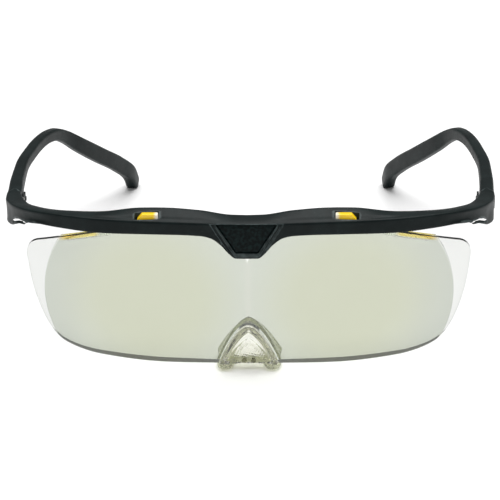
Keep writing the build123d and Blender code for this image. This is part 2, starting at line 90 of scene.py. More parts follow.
@dataclass(frozen=True)
class SmoothLine:
    """A value that runs smoothly, without overshoot, through a few chosen stations."""

    places: tuple[float, ...]
    values: tuple[float, ...]

    def slopes(self) -> list[float]:
        """The slope at each station, flat wherever the value turns."""
        gaps = [b - a for a, b in zip(self.places, self.places[1:])]
        rises = [(b - a) / g for a, b, g in zip(self.values, self.values[1:], gaps)]
        inner = []
        for left, right, before, after in zip(rises, rises[1:], gaps, gaps[1:]):
            if left * right <= 0:
                inner.append(0.0)
            else:
                near, far = 2 * after + before, after + 2 * before
                inner.append((near + far) / (near / left + far / right))
        return [rises[0], *inner, rises[-1]]

    def __call__(self, place: float) -> float:
        """The value at one place.

        Args:
            place: distance along the line.

        Returns:
            The value there; outside the stations it is the nearest end's.
        """
        place = min(max(place, self.places[0]), self.places[-1])
        index = max(i for i, p in enumerate(self.places[:-1]) if p <= place)
        gap = self.places[index + 1] - self.places[index]
        t = (place - self.places[index]) / gap
        slopes = self.slopes()
        low, high = self.values[index], self.values[index + 1]
        start, end = slopes[index] * gap, slopes[index + 1] * gap
        return (
            low * (1 + 2 * t) * (1 - t) ** 2
            + start * t * (1 - t) ** 2
            + high * t * t * (3 - 2 * t)
            + end * t * t * (t - 1)
        )


class Route:
    """A smooth path through a few chosen points, each with any number of measures."""

    def __init__(self, stations: Sequence[Sequence[float]], axes: int) -> None:
        """Measures the path.

        Args:
            stations: the chosen points, whose first values are their place.
            axes: how many of each point's values are its place.
        """
        places = [0.0]
        for before, after in zip(stations, stations[1:]):
            places.append(places[-1] + math.dist(before[:axes], after[:axes]))
        self.length = places[-1]
        self.lines = [SmoothLine(tuple(places), tuple(column)) for column in zip(*stations)]

    def __call__(self, along: float) -> list[float]:
        """Every measure at a distance along the path."""
        return [line(along) for line in self.lines]

    def walk(self, steps: int, start: float = 0.0, end: float | None = None) -> list[list[float]]:
        """Measures at equal steps from start to end, both included."""
        stop = self.length if end is None else end
        return [self(mix(start, stop, i / steps)) for i in range(steps + 1)]


def arc_through(start: Point2, middle: Point2, end: Point2, steps: int) -> list[Point2]:
    """Points on the circular arc through three places.

    Args:
        start: first place.
        middle: a place on the way.
        end: last place.
        steps: how many steps the arc has.

    Returns:
        steps + 1 points from start to end.
    """
    a, b, c = Vector(start), Vector(middle), Vector(end)
    ab, ac = b - a, c - a
    cross = 2 * (ab.x * ac.y - ab.y * ac.x)
    ux = (ac.y * ab.length_squared - ab.y * ac.length_squared) / cross
    uy = (ab.x * ac.length_squared - ac.x * ab.length_squared) / cross
    centre = a + Vector((ux, uy))
    first = math.atan2(a.y - centre.y, a.x - centre.x)
    turn = math.atan2(c.y - centre.y, c.x - centre.x) - first
    turn = (turn + math.pi) % (2 * math.pi) - math.pi
    radius = (a - centre).length
    return [
        (
            centre.x + radius * math.cos(first + turn * i / steps),
            centre.y + radius * math.sin(first + turn * i / steps),
        )
        for i in range(steps + 1)
    ]


def rounded_loop(corners: Sequence[Point2], radii: Sequence[float], steps: int = 4) -> list[Point2]:
    """A closed outline with a rounded corner at each place, always with the same number of points.

    Args:
        corners: the sharp corners, in order.
        radii: the rounding at each corner, made smaller where its edges are short.
        steps: how many steps each rounding has.

    Returns:
        The outline's points.
    """
    found: list[Point2] = []
    count = len(corners)
    for i, corner in enumerate(corners):
        here, before, after = Vector(corner), Vector(corners[i - 1]), Vector(corners[(i + 1) % count])
        back, ahead = before - here, after - here
        reach = min(radii[i], back.length * 0.45, ahead.length * 0.45)
        start = here + (back.normalized() * reach if back.length > 1e-9 else Vector((0, 0)))
        end = here + (ahead.normalized() * reach if ahead.length > 1e-9 else Vector((0, 0)))
        for step in range(steps + 1):
            t = step / steps
            bent = start * (1 - t) ** 2 + here * 2 * t * (1 - t) + end * t * t
            found.append((bent.x, bent.y))
    return found


# ---------------------------------------------------------------- mesh making
class MeshMaker:
    """Collects vertices and faces and makes one smooth-shaded object of them."""

    def __init__(self) -> None:
        """Starts an empty mesh."""
        self.vertices: list[Vector] = []
        self.faces: list[tuple[int, ...]] = []
        self.slots: list[int] = []

    def add_points(self, points: Iterable[Vector]) -> list[int]:
        """Adds vertices and returns their indices."""
        start = len(self.vertices)
        self.vertices.extend(points)
        return list(range(start, len(self.vertices)))

    def skin(self, rings: Sequence[Sequence[int]], closed: bool = True, slot: int = 0) -> None:
        """Joins neighbouring rings of indices with quads.

        Args:
            rings: rows of vertex indices, all of one length.
            closed: whether each row's end joins its start.
            slot: the material slot of the faces.
        """
        for low, high in zip(rings, rings[1:]):
            count = len(low)
            for i in range(count if closed else count - 1):
                j = (i + 1) % count
                self.faces.append((low[i], low[j], high[j], high[i]))
                self.slots.append(slot)

    def cap(self, ring: Sequence[int], slot: int = 0) -> None:
        """Closes a ring with a fan round its middle."""
        middle = sum((self.vertices[i] for i in ring), Vector()) / len(ring)
        hub = self.add_points([middle])[0]
        for i, start in enumerate(ring):
            self.faces.append((start, ring[(i + 1) % len(ring)], hub))
            self.slots.append(slot)

    def loft(self, rings: Sequence[Ring]) -> None:
        """A closed body through rings of points."""
        rows = [self.add_points(ring) for ring in rings]
        self.skin(rows)
        self.cap(rows[0][::-1])
        self.cap(rows[-1])

    def prism(
        self,
        outline: Sequence[Point2],
        place: Callable[[float, float, float], Vector],
        low: float,
        high: float,
    ) -> None:
        """A closed body of one outline between two levels.

        Args:
            outline: the outline's points.
            place: gives a point from an outline point and a level.
            low: first level.
            high: last level.
        """
        self.loft([[place(a, b, level) for a, b in outline] for level in (low, high)])

    def build(self, name: str, weld: float = 1e-7, sharp: float = 40.0) -> bpy.types.Object:
        """Makes the object.

        Args:
            name: the piece's name.
            weld: vertices nearer than this, in metres, become one.
            sharp: edges that turn by more than this, in degrees, stay sharp.

        Returns:
            The object, in the scene.
        """
        mesh = bpy.data.meshes.new(name)
        mesh.from_pydata([tuple(v) for v in self.vertices], [], self.faces)
        for polygon, slot in zip(mesh.polygons, self.slots):
            polygon.material_index = slot
        work = bmesh.new()
        work.from_mesh(mesh)
        bmesh.ops.remove_doubles(work, verts=work.verts, dist=weld)
        bmesh.ops.dissolve_degenerate(work, edges=work.edges, dist=weld)
        bmesh.ops.recalc_face_normals(work, faces=work.faces)
        work.to_mesh(mesh)
        work.free()
        piece = bpy.data.objects.new(name, mesh)
        bpy.context.scene.collection.objects.link(piece)
        smooth(piece, sharp)
        return piece


def smooth(piece: bpy.types.Object, sharp: float) -> None:
    """Shades a piece smoothly, except at edges that turn by more than sharp degrees."""
    piece.data.shade_smooth()
    piece.data.set_sharp_from_angle(angle=math.radians(sharp))


def applied(piece: bpy.types.Object) -> bpy.types.Object:
    """Turns a piece's modifiers into mesh."""
    graph = bpy.context.evaluated_depsgraph_get()
    mesh = bpy.data.meshes.new_from_object(piece.evaluated_get(graph), depsgraph=graph)
    piece.modifiers.clear()
    piece.data = mesh
    return piece


def cut(piece: bpy.types.Object, tools: Sequence[bpy.types.Object], operation: str = "DIFFERENCE") -> None:
    """Cuts, or joins, closed bodies from or to a piece, and removes them.

    Args:
        piece: the piece that is changed.
        tools: the closed bodies.
        operation: the Boolean modifier's operation.
    """
    for tool in tools:
        modifier = piece.modifiers.new("cut", "BOOLEAN")
        modifier.operation = operation
        modifier.solver = "EXACT"
        modifier.object = tool
        applied(piece)
        bpy.data.objects.remove(tool)


def soften(piece: bpy.types.Object, width: float, angle: float = 55.0, segments: int = 2) -> None:
    """Rounds a piece's sharp edges.

    Args:
        piece: the piece.
        width: width of the rounding, in millimetres.
        angle: edges that turn by more than this, in degrees, are rounded.
        segments: steps across the rounding.
    """
    modifier = piece.modifiers.new("soft_edges", "BEVEL")
    modifier.width = width * MM
    modifier.segments = segments
    modifier.limit_method = "ANGLE"
    modifier.angle_limit = math.radians(angle)
    modifier.miter_outer = "MITER_ARC"


def melt(piece: bpy.types.Object, voxel: float, passes: int) -> None:
    """Makes one moulded skin of a piece's overlapping bodies.

    Args:
        piece: the piece.
        voxel: size of the smallest detail kept, in millimetres.
        passes: how often the skin is smoothed.
    """
    remesh = piece.modifiers.new("one_skin", "REMESH")
    remesh.mode = "VOXEL"
    remesh.voxel_size = voxel * MM
    relax = piece.modifiers.new("relax", "SMOOTH")
    relax.factor = 0.5
    relax.iterations = passes
    applied(piece)
    piece.data.shade_smooth()


# ---------------------------------------------------------------- shader maths
class Socket:
    """A node's output, with arithmetic that adds Math nodes."""

    def __init__(self, tree: "Tree", output: bpy.types.NodeSocket) -> None:
        """Wraps one output of a tree's node."""
        self.tree = tree
        self.output = output

    def math(self, operation: str, *others: "Socket | float") -> "Socket":
        """One Math node that starts with this value."""
        values = {i: value for i, value in enumerate((self, *others))}
        return self.tree.node("ShaderNodeMath", {"operation": operation}, values)

    def __add__(self, other: "Socket | float") -> "Socket":
        """Sum."""
        return self.math("ADD", other)

    __radd__ = __add__

    def __mul__(self, other: "Socket | float") -> "Socket":
        """Product."""
        return self.math("MULTIPLY", other)

    __rmul__ = __mul__

    def __sub__(self, other: "Socket | float") -> "Socket":
        """Difference."""
        return self.math("SUBTRACT", other)

    def __rsub__(self, other: float) -> "Socket":
        """Difference from a plain number."""
        return self.tree.node("ShaderNodeMath", {"operation": "SUBTRACT"}, {0: other, 1: self})

    def __truediv__(self, other: "Socket | float") -> "Socket":
        """Quotient."""
        return self.math("DIVIDE", other)

    def __pow__(self, other: "Socket | float") -> "Socket":
        """Power."""
        return self.math("POWER", other)

    def __abs__(self) -> "Socket":
        """Size without sign."""
        return self.math("ABSOLUTE")

    def step(self, low: float, high: float) -> "Socket":
        """Rises smoothly from 0 at low to 1 at high."""
        settings = {"interpolation_type": "SMOOTHSTEP"}
        values = {"Value": self, "From Min": low, "From Max": high}
        return self.tree.node("ShaderNodeMapRange", settings, values)


Colour = tuple[float, float, float]
Input = Socket | float | Colour | tuple[float, ...]


class Tree:
    """A material's nodes."""

    def __init__(self, name: str) -> None:
        """Makes a material with an empty node tree."""
        self.material = bpy.data.materials.new(name)
        self.material.use_nodes = True
        self.nodes = self.material.node_tree.nodes
        self.links = self.material.node_tree.links
        self.nodes.clear()

    def node(
        self,
        kind: str,
        settings: dict[str, object] | None = None,
        values: dict[str | int, Input] | None = None,
        output: str | int = 0,
    ) -> Socket:
        """Adds one node.

        Args:
            kind: the node's type.
            settings: its own settings, which are set first; "stops" gives a ramp's places and colours.
            values: numbers, colours or links for its sockets.
            output: which output is wanted.

        Returns:
            That output.
        """
        made = self.nodes.new(kind)
        for key, value in (settings or {}).items():
            if key == "stops":
                self.set_stops(made, value)
            else:
                setattr(made, key, value)
        for key, value in (values or {}).items():
            socket = made.inputs[key]
            if isinstance(value, Socket):
                self.links.new(value.output, socket)
            elif isinstance(value, tuple) and len(value) == 3 and socket.type == "RGBA":
                socket.default_value = (*value, 1.0)
            else:
                socket.default_value = value
        return Socket(self, made.outputs[output])

    @staticmethod
    def set_stops(made: bpy.types.Node, stops: Sequence[tuple[float, Colour]]) -> None:
        """Gives a ramp its places and colours."""
        ramp = made.color_ramp
        while len(ramp.elements) < len(stops):
            ramp.elements.new(1.0)
        for element, (place, colour) in zip(ramp.elements, stops):
            element.position = place
            element.color = (*colour, 1.0)

    def coordinates(self) -> Socket:
        """The place on the object, in metres."""
        return self.node("ShaderNodeTexCoord", output="Object")

    def axis(self, vector: Socket, name: str) -> Socket:
        """One axis of a place, X, Y or Z."""
        return self.node("ShaderNodeSeparateXYZ", values={"Vector": vector}, output=name)

    def stretched(self, vector: Socket, scale: tuple[float, float, float]) -> Socket:
        """A place with each axis multiplied."""
        return self.node("ShaderNodeVectorMath", {"operation": "MULTIPLY"}, {0: vector, 1: scale})

    def noise(self, scale: float, detail: float = 3.0, vector: Socket | None = None) -> Socket:
        """Grain from 0 to 1.

        Args:
            scale: grains in a metre.
            detail: how many finer layers it has.
            vector: the place, where it isn't the plain one.

        Returns:
            The grain's value.
        """
        where = vector if vector is not None else self.coordinates()
        return self.node("ShaderNodeTexNoise", values={"Vector": where, "Scale": scale, "Detail": detail})

    def blend(self, share: Socket | float, a: Socket | Colour, b: Socket | Colour) -> Socket:
        """A colour between a, at share 0, and b, at share 1."""
        made = self.nodes.new("ShaderNodeMix")
        made.data_type = "RGBA"
        for socket, value in ((made.inputs[0], share), (made.inputs[6], a), (made.inputs[7], b)):
            if isinstance(value, Socket):
                self.links.new(value.output, socket)
            elif isinstance(value, tuple):
                socket.default_value = (*value, 1.0)
            else:
                socket.default_value = value
        return Socket(self, made.outputs[2])

    def bump(self, height: Socket, distance: float, strength: float = 1.0) -> Socket:
        """A normal for small relief, its full height in millimetres."""
        values = {"Height": height, "Distance": distance * MM, "Strength": strength}
        return self.node("ShaderNodeBump", values=values, output="Normal")

    def principled(self, **sockets: Input) -> Socket:
        """The plain surface shader; a socket's name has _ for each space."""
        values = {key.replace("_", " "): value for key, value in sockets.items()}
        return self.node("ShaderNodeBsdfPrincipled", values=values)

    def mixed(self, share: Socket | float, a: Socket, b: Socket) -> Socket:
        """A shader between a, at share 0, and b, at share 1."""
        return self.node("ShaderNodeMixShader", values={0: share, 1: a, 2: b})

    def finished(self, surface: Socket) -> bpy.types.Material:
        """Ends the tree with its surface and returns the material."""
        end = self.nodes.new("ShaderNodeOutputMaterial")
        self.links.new(surface.output, end.inputs["Surface"])
        return self.material


@dataclass(frozen=True)
class MouldedNylon:
    """Satin black nylon with a fine moulded grain, paler where edges are handled."""

    name: str
    colour: Colour = (0.002, 0.006, 0.006)
    pale: Colour = (0.007, 0.014, 0.014)
    worn: Colour = (0.060, 0.078, 0.078)
    roughness: float = 0.42
    grain: float = 2600.0
    relief: float = 0.035

    def material(self) -> bpy.types.Material:
        """Mottled colour, handled edges, grainy relief and uneven gloss."""
        tree = Tree(self.name)
        cloud = tree.noise(160.0, 4.0).step(0.35, 0.70)
        speck = tree.noise(self.grain, 2.0)
        base = tree.blend(cloud * 0.7, self.colour, self.pale)
        base = tree.blend(speck.step(0.62, 0.78) * 0.25, base, self.worn)
        edge = tree.node("ShaderNodeNewGeometry", output="Pointiness").step(0.53, 0.62)
        scuff = tree.noise(420.0, 5.0).step(0.40, 0.62)
        base = tree.blend(edge * (scuff * 0.6 + 0.4), base, self.worn)
        gloss = self.roughness + (tree.noise(300.0, 4.0) - 0.5) * 0.16 + edge * -0.08
        normal = tree.bump(speck + tree.noise(self.grain * 0.35, 3.0) * 0.6, self.relief, 0.7)
        surface = tree.principled(
            Base_Color=base, Roughness=gloss, Normal=normal, IOR=1.5, Specular_IOR_Level=0.16
        )
        return tree.finished(surface)


@dataclass(frozen=True)
class MottledInlay:
    """Dark inlay with a clotted, leathery mottle."""

    name: str = "inlay_dark_mottled"
    dark: Colour = (0.0005, 0.003, 0.003)
    light: Colour = (0.004, 0.012, 0.012)

    def material(self) -> bpy.types.Material:
        """Clots of two greys, with relief that follows them."""
        tree = Tree(self.name)
        clots = tree.node("ShaderNodeTexVoronoi", values={"Vector": tree.coordinates(), "Scale": 900.0})
        mottle = tree.noise(1100.0, 4.0).step(0.40, 0.62)
        base = tree.blend(mottle, self.dark, self.light)
        normal = tree.bump(clots + mottle * 0.8, 0.08, 0.6)
        gloss = 0.5 - mottle * 0.12
        surface = tree.principled(Base_Color=base, Roughness=gloss, Normal=normal, Specular_IOR_Level=0.1)
        return tree.finished(surface)


class Glassware:
    """What every clear finish shares: it lets lamps through, so its shadow is pale."""

    @staticmethod
    def shaded(tree: Tree, surface: Socket, shadow: Colour) -> bpy.types.Material:
        """Ends a clear finish.

        Args:
            tree: the material's nodes.
            surface: the clear shader.
            shadow: the share of a lamp's light that each skin passes.

        Returns:
            The material.
        """
        passing = tree.node("ShaderNodeBsdfTransparent", values={"Color": shadow})
        to_lamp = tree.node("ShaderNodeLightPath", output="Is Shadow Ray")
        return tree.finished(tree.mixed(to_lamp, surface, passing))


@dataclass(frozen=True)
class OpticalPlastic(Glassware):
    """The lens: polished, warm grey-green where it is thick and almost clear in its wings."""

    name: str = "lens_polished_tinted"
    zone_x: float = 31.7
    zone_z: float = 25.2
    zone_radius: float = 34.5
    tint: Colour = (0.540, 0.560, 0.438)
    cool: Colour = (0.556, 0.586, 0.534)
    wing: Colour = (0.810, 0.820, 0.800)
    seam: Colour = (0.590, 0.603, 0.540)
    amber: Colour = (0.90, 0.58, 0.02)

    def material(self) -> bpy.types.Material:
        """Tint by place on the lens, a painted amber edge glow under the brow line, and faint wipe marks in
        the polish.
        """
        tree = Tree(self.name)
        place = tree.coordinates()
        across = abs(tree.axis(place, "X")) / MM
        height = tree.axis(place, "Z") / MM
        away = ((across - self.zone_x) ** 2.0 + (height - self.zone_z) ** 2.0) ** 0.5
        haze = tree.noise(45.0, 3.0)
        zone = tree.blend(away.step(14.0, self.zone_radius) * 0.8 + haze * 0.12, self.tint, self.cool)
        centre = 1 - across.step(0.2, 1.6)
        zone = tree.blend(centre * 0.55, zone, self.seam)
        base = tree.blend(away.step(self.zone_radius - 0.15, self.zone_radius + 0.15), zone, self.wing)
        # painted edge glow: a thin band just under the brow line, between x 46.5 and 61.5 mm, is blended to
        # amber
        brow_line = BROW_CORNER[1] - (across - BROW_CORNER[0]) * BROW_SLOPE
        painted_edge_glow = (height - brow_line).step(-1.25, -0.85) * across.step(46.5, 49.0)
        painted_edge_glow = painted_edge_glow * (1 - across.step(58.0, 61.5))
        base = tree.blend(painted_edge_glow * 0.9, base, self.amber)
        wipes = tree.noise(30.0, 6.0, tree.stretched(place, (1.0, 1.0, 5.0))).step(0.45, 0.75)
        gloss = 0.012 + wipes * 0.02
        normal = tree.bump(tree.noise(60.0, 2.0), 0.01, 0.25)
        surface = tree.principled(
            Base_Color=base, Roughness=gloss, Normal=normal, IOR=1.49, Transmission_Weight=1.0
        )
        return self.shaded(tree, surface, (0.90, 0.91, 0.88))


@dataclass(frozen=True)
class LensRim(Glassware):
    """The lens's polished rim, darkened as a painted reflection of the dark surroundings, which shows as a
    thin line.
    """

    name: str = "lens_rim_dark"
    colour: Colour = (0.15, 0.16, 0.12)
    amber: Colour = (0.80, 0.50, 0.03)
    brown: Colour = (0.060, 0.045, 0.025)

    def material(self) -> bpy.types.Material:
        """Clear plastic with saw marks, darkened as a painted reflection, with a painted edge glow along the
        brow line, amber and then brown.
        """
        tree = Tree(self.name)
        place = tree.coordinates()
        across = abs(tree.axis(place, "X")) / MM
        height = tree.axis(place, "Z") / MM
        saw = tree.noise(900.0, 3.0)
        # painted reflection: the rim's dark colour stands in for the dark surroundings it reflects; the saw
        # marks lighten it
        base = tree.blend(saw.step(0.3, 0.8) * 0.5, self.colour, (0.32, 0.33, 0.27))
        # painted edge glow: just under the brow line, amber from x 45 mm and brown from x 60 mm on
        brow_line = BROW_CORNER[1] - (across - BROW_CORNER[0]) * BROW_SLOPE
        brow = (height - brow_line).step(-1.2, -0.6)
        base = tree.blend(brow * across.step(45.0, 46.0), base, self.amber)
        base = tree.blend(brow * across.step(60.0, 62.0), base, self.brown)
        normal = tree.bump(saw, 0.02, 0.4)
        surface = tree.principled(
            Base_Color=base, Roughness=0.18 + saw * 0.1, Normal=normal, IOR=1.49, Transmission_Weight=0.6
        )
        return self.shaded(tree, surface, (0.75, 0.76, 0.72))


@dataclass(frozen=True)
class AmberTab:
    """Amber snap tab, paler at its inner end as a painted highlight, ticked with dark flecks, and given a
    painted glow.
    """

    name: str = "tab_amber"
    amber: Colour = (0.86, 0.56, 0.01)
    pale: Colour = (0.86, 0.80, 0.68)
    fleck: Colour = (0.30, 0.17, 0.03)

    def material(self) -> bpy.types.Material:
        """Amber that fades to a pale painted highlight at its inner end, with a painted glow."""
        tree = Tree(self.name)
        place = tree.coordinates()
        across = abs(tree.axis(place, "X")) / MM
        # painted highlight: the inner end, inward of x 29.6 mm, fades from amber to pale
        base = tree.blend(1 - across.step(28.2, 29.6), self.amber, self.pale)
        flecks = tree.noise(950.0, 3.0).step(0.60, 0.70)
        near = across.step(28.0, 29.2) * (1 - across.step(30.4, 31.4))
        base = tree.blend(flecks * near * 0.9, base, self.fleck)
        normal = tree.bump(tree.noise(800.0, 3.0), 0.05, 0.5)
        # painted glow: the tab emits its own colour at strength 0.22 though it is no lamp
        surface = tree.principled(
            Base_Color=base,
            Roughness=0.22 + flecks * 0.2,
            Normal=normal,
            Emission_Color=base,
            Emission_Strength=0.22,
        )
        return tree.finished(surface)


@dataclass(frozen=True)
class ClearPlastic(Glassware):
    """Clear moulded plastic of the nose carrier and pegs."""

    name: str
    tint: Colour = (0.80, 0.81, 0.70)
    roughness: float = 0.05
    ripple: float = 0.12
    shadow: Colour = (0.72, 0.72, 0.70)

    def material(self) -> bpy.types.Material:
        """Clear, faintly yellow, with the ripples of its mould."""
        tree = Tree(self.name)
        cloud = tree.noise(240.0, 3.0)
        base = tree.blend(cloud.step(0.35, 0.7) * 0.6, self.tint, tuple(c * 0.86 for c in self.tint))
        ripple = tree.noise(650.0, 4.0)
        normal = tree.bump(ripple, self.ripple, 0.6)
        gloss = self.roughness + tree.noise(900.0, 2.0) * 0.05
        surface = tree.principled(
            Base_Color=base, Roughness=gloss, Normal=normal, IOR=1.5, Transmission_Weight=1.0
        )
        return self.shaded(tree, surface, self.shadow)


@dataclass(frozen=True)
class Silicone(Glassware):
    """Soft translucent silicone of the nose saddle and its lobes."""

    name: str = "silicone_translucent"
    tint: Colour = (0.74, 0.75, 0.60)
    deep: Colour = (0.56, 0.57, 0.42)

    def material(self) -> bpy.types.Material:
        """Milky, grippy skin over a clear body."""
        tree = Tree(self.name)
        cloud = tree.noise(260.0, 4.0)
        base = tree.blend(cloud.step(0.35, 0.7), self.tint, self.deep)
        skin = tree.noise(1500.0, 3.0)
        normal = tree.bump(skin + cloud * 1.5, 0.14, 0.7)
        gloss = 0.22 + skin * 0.12
        surface = tree.principled(
            Base_Color=base, Roughness=gloss, Normal=normal, IOR=1.41, Transmission_Weight=0.82
        )
        return self.shaded(tree, surface, (0.62, 0.62, 0.58))


class Lay(Enum):
    """How a metal's marks run."""

    ALONG = (1.0, 1.0, 9.0)
    ROUND = (3.0, 3.0, 3.0)
    UPRIGHT = (7.0, 7.0, 1.0)


@dataclass(frozen=True)
class Steel:
    """Small steel parts, brushed or turned, with patches of tarnish."""

    name: str
    lay: Lay
    bright: Colour = (0.58, 0.58, 0.57)
    dull: Colour = (0.30, 0.29, 0.27)
    roughness: float = 0.28

    def material(self) -> bpy.types.Material:
        """Brush marks and tarnish."""
        tree = Tree(self.name)
        marks = tree.noise(900.0, 4.0, tree.stretched(tree.coordinates(), self.lay.value))
        tarnish = tree.noise(350.0, 4.0).step(0.45, 0.72)
        base = tree.blend(tarnish * 0.7, self.bright, self.dull)
        gloss = self.roughness + marks * 0.18 + tarnish * 0.15
        normal = tree.bump(marks, 0.02, 0.5)
        surface = tree.principled(Base_Color=base, Metallic=1.0, Roughness=gloss, Normal=normal)
        return tree.finished(surface)


@dataclass(frozen=True)
class PaleFloor:
    """Matt white sweep that the spectacles stand on."""

    name: str = "floor_white"
    colour: Colour = (0.93, 0.93, 0.93)

    def material(self) -> bpy.types.Material:
        """Almost even white with the faintest mottle."""
        tree = Tree(self.name)
        cloud = tree.noise(12.0, 2.0)
        base = tree.blend(cloud * 0.3, self.colour, tuple(c * 0.985 for c in self.colour))
        return tree.finished(tree.principled(Base_Color=base, Roughness=0.85, Specular_IOR_Level=0.0))


def dress(piece: bpy.types.Object, *materials: bpy.types.Material) -> None:
    """Gives a new piece its materials, in the order of its slots."""
    piece.data.materials.clear()
    for material in materials:
        piece.data.materials.append(material)


def dress_node(node: str, material: bpy.types.Material, edge: float = 0.0) -> None:
    """Gives a carried-over node a better material, and rounded edges where edge is above 0 mm."""
    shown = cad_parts[node]
    for slot in shown.material_slots:
        slot.material = material
    if edge:
        weld = shown.modifiers.new("weld", "WELD")
        weld.merge_threshold = 1e-6
        soften(shown, edge, 30.0)
    LOG.info("dressed %s", node)


def fitted(piece: bpy.types.Object, body: str, slot: str, *nodes: str) -> bpy.types.Object:
    """Joins a piece to its body, in place of the nodes it stands for."""
    if nodes:
        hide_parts(*nodes)
    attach(piece, body)
    LOG.info("built %s on %s", piece.name, body)
    return piece


def hinge_relief(side: int) -> bpy.types.Object:
    """Body for the round space that clears one side's hinge barrel."""
    x, depth, radius = HINGE_RELIEF
    turns = [2 * math.pi * i / 32 for i in range(32)]
    ring = [(x + radius * math.cos(turn), depth + radius * math.sin(turn)) for turn in turns]
    maker = MeshMaker()
    maker.prism(ring, lambda a, b, z: point(side * a, b, z), *HINGE_LEVELS)
    return maker.build("relief_tool")


# ---------------------------------------------------------------- the brow bar
@dataclass
class BrowBar:
    """Brow bar with its shield, windows, end pieces and hinge blocks."""

    # Front x and depth, back x and depth, height of the front crease, height of the back edge.
    stations: tuple[tuple[float, ...], ...] = (
        (0.0, -3.5, 0.0, 2.6, 54.1, 54.8),
        (5.0, -3.46, 5.0, 2.65, 54.1, 54.95),
        (15.0, -3.1, 14.9, 3.0, 54.1, 56.4),
        (25.0, -2.46, 24.8, 3.6, 54.1, 57.0),
        (34.0, -1.57, 33.6, 4.6, 54.1, 56.6),
        (47.0, 0.18, 46.0, 6.1, 54.3, 54.6),
        (60.0, 4.4, 57.6, 9.0, 54.0, 53.5),
        (68.0, 8.6, 63.4, 11.8, 53.3, 52.8),
        (74.2, 14.2, 68.0, 15.4, 52.2, 52.1),
        (78.2, 20.8, 71.2, 19.5, 51.0, 51.2),
        (80.1, 26.5, 74.0, 25.6, 50.3, 50.5),
        (80.4, 31.0, 75.6, 31.0, 50.0, 50.1),
    )
    underside: SmoothLine = SmoothLine(
        (0, 3.6, 5.4, 8.5, 11.5, 14.8, 21, 46, 66, 70, 71.4, 72.4, 74.2, 76, 77.5, 79, 80.1, 80.4, 81.4),
        (41.9, 41.95, 43.3, 46.8, 48.9, 49.6, 49.8, 49.3)
        + (49.0, 48.2, 47.85, 46.75, 46.2, 44.9, 43.5, 42.6, 42.2, 42.8, 43.2),
    )
    seam_x: float = 78.0
    seam_depth: float = 31.0
    seam_half_width: float = 2.4
    seam_length: float = 3.0
    rebate_end: float = 44.1
    rebate_top: float = 52.7
    rebate_gap: float = 0.25
    window: tuple[float, float, float, float] = (27.7, 35.5, -0.7, 2.0)
    shield_steps: int = 70
    bar_steps: int = 84
    seam_steps: int = 10
    finish: MouldedNylon = field(default_factory=lambda: MouldedNylon("frame_satin_black"))

    def half_rings(self) -> list[Ring]:
        """Sections from the centre line to the rounded end of the left end piece."""
        route = Route(self.stations, 2)
        near = 17.0
        walk = route.walk(self.shield_steps, 0.0, near)[:-1]
        walk += route.walk(self.bar_steps, near, route.length)
        for i in range(1, self.seam_steps + 1):
            angle = math.pi / 2 * i / self.seam_steps
            reach, out = self.seam_length * math.sin(angle), self.seam_half_width * math.cos(angle)
            top = 50.05 + 0.1 * math.sin(angle)
            depth = self.seam_depth + reach
            walk.append([self.seam_x + out, depth, self.seam_x - out, depth, top, top])
        return [self.section(*measures) for measures in walk]

    def section(self, fx: float, fd: float, bx: float, bd: float, crease: float, top: float) -> Ring:
        """One section through the bar.

        Args:
            fx: x of the front face.
            fd: depth of the front face.
            bx: x of the back face.
            bd: depth of the back face.
            crease: height of the crease between front face and top.
            top: height of the top's back edge.

        Returns:
            The section's points, always as many.
        """
        in_rebate = fx < self.rebate_end
        low_front = self.underside(fx)
        wall = (wrap_depth(fx) - self.rebate_gap - fd) / (bd - fd) if in_rebate else 0.5
        low_wall = low_front if in_rebate else self.underside(mix(fx, bx, 0.5))
        low_back = self.rebate_top if in_rebate else self.underside(bx)
        step = self.rebate_top if in_rebate else self.underside(mix(fx, bx, 0.75))
        width = math.hypot(bx - fx, bd - fd)
        corners = [(0.0, low_front), (0.0, crease), (width, top), (width, low_back), (width * wall, step)]
        corners.append((width * wall * 0.98, low_wall))
        loop = rounded_loop(corners, (0.55, 0.7, 0.7, 0.3, 0.15, 0.25), 4)
        front, lid = self.face_relief(fx, fd, low_front, crease), self.lid_relief(fx, width, crease, top)
        loop = [*loop[:5], *front, *loop[5:10], *lid, *loop[10:]]
        flat = 1.0 / max(width, 1e-6)
        return [point(mix(fx, bx, w * flat), mix(fd, bd, w * flat), z) for w, z in loop]

    @staticmethod
    def face_relief(fx: float, fd: float, low: float, crease: float) -> list[Point2]:
        """Points up the front face, which is scooped under the crest of the end piece."""
        scoop = 0.75 * ease(fx, 60.0, 72.0) * (1 - ease(fd, 21.0, 29.0))
        found = []
        for i in range(1, 8):
            share = i / 8
            hollow = scoop * math.sin(math.pi * share ** 0.7)
            found.append((hollow, mix(low + 0.6, crease - 0.7, share)))
        return found

    @staticmethod
    def lid_relief(fx: float, width: float, crease: float, top: float) -> list[Point2]:
        """Points back over the top, with a shallow groove between two soft ridges."""
        groove = 0.30 * ease(fx, 6.0, 14.0) * (1 - ease(fx, 40.0, 56.0))
        found = []
        for i in range(1, 12):
            share = mix(0.16, 0.86, i / 12)
            dip = groove * math.exp(-(((share - 0.24) / 0.065) ** 2))
            crown = 0.16 * math.sin(math.pi * share)
            found.append((width * share, mix(crease, top, share) - dip + crown))
        return found

    def shell(self) -> bpy.types.Object:
        """The bar's body, both halves in one skin."""
        left = self.half_rings()
        right = [[Vector((-p.x, p.y, p.z)) for p in ring] for ring in left[1:]]
        maker = MeshMaker()
        maker.loft([*right[::-1], *left])
        return maker.build("brow_bar", sharp=50.0)

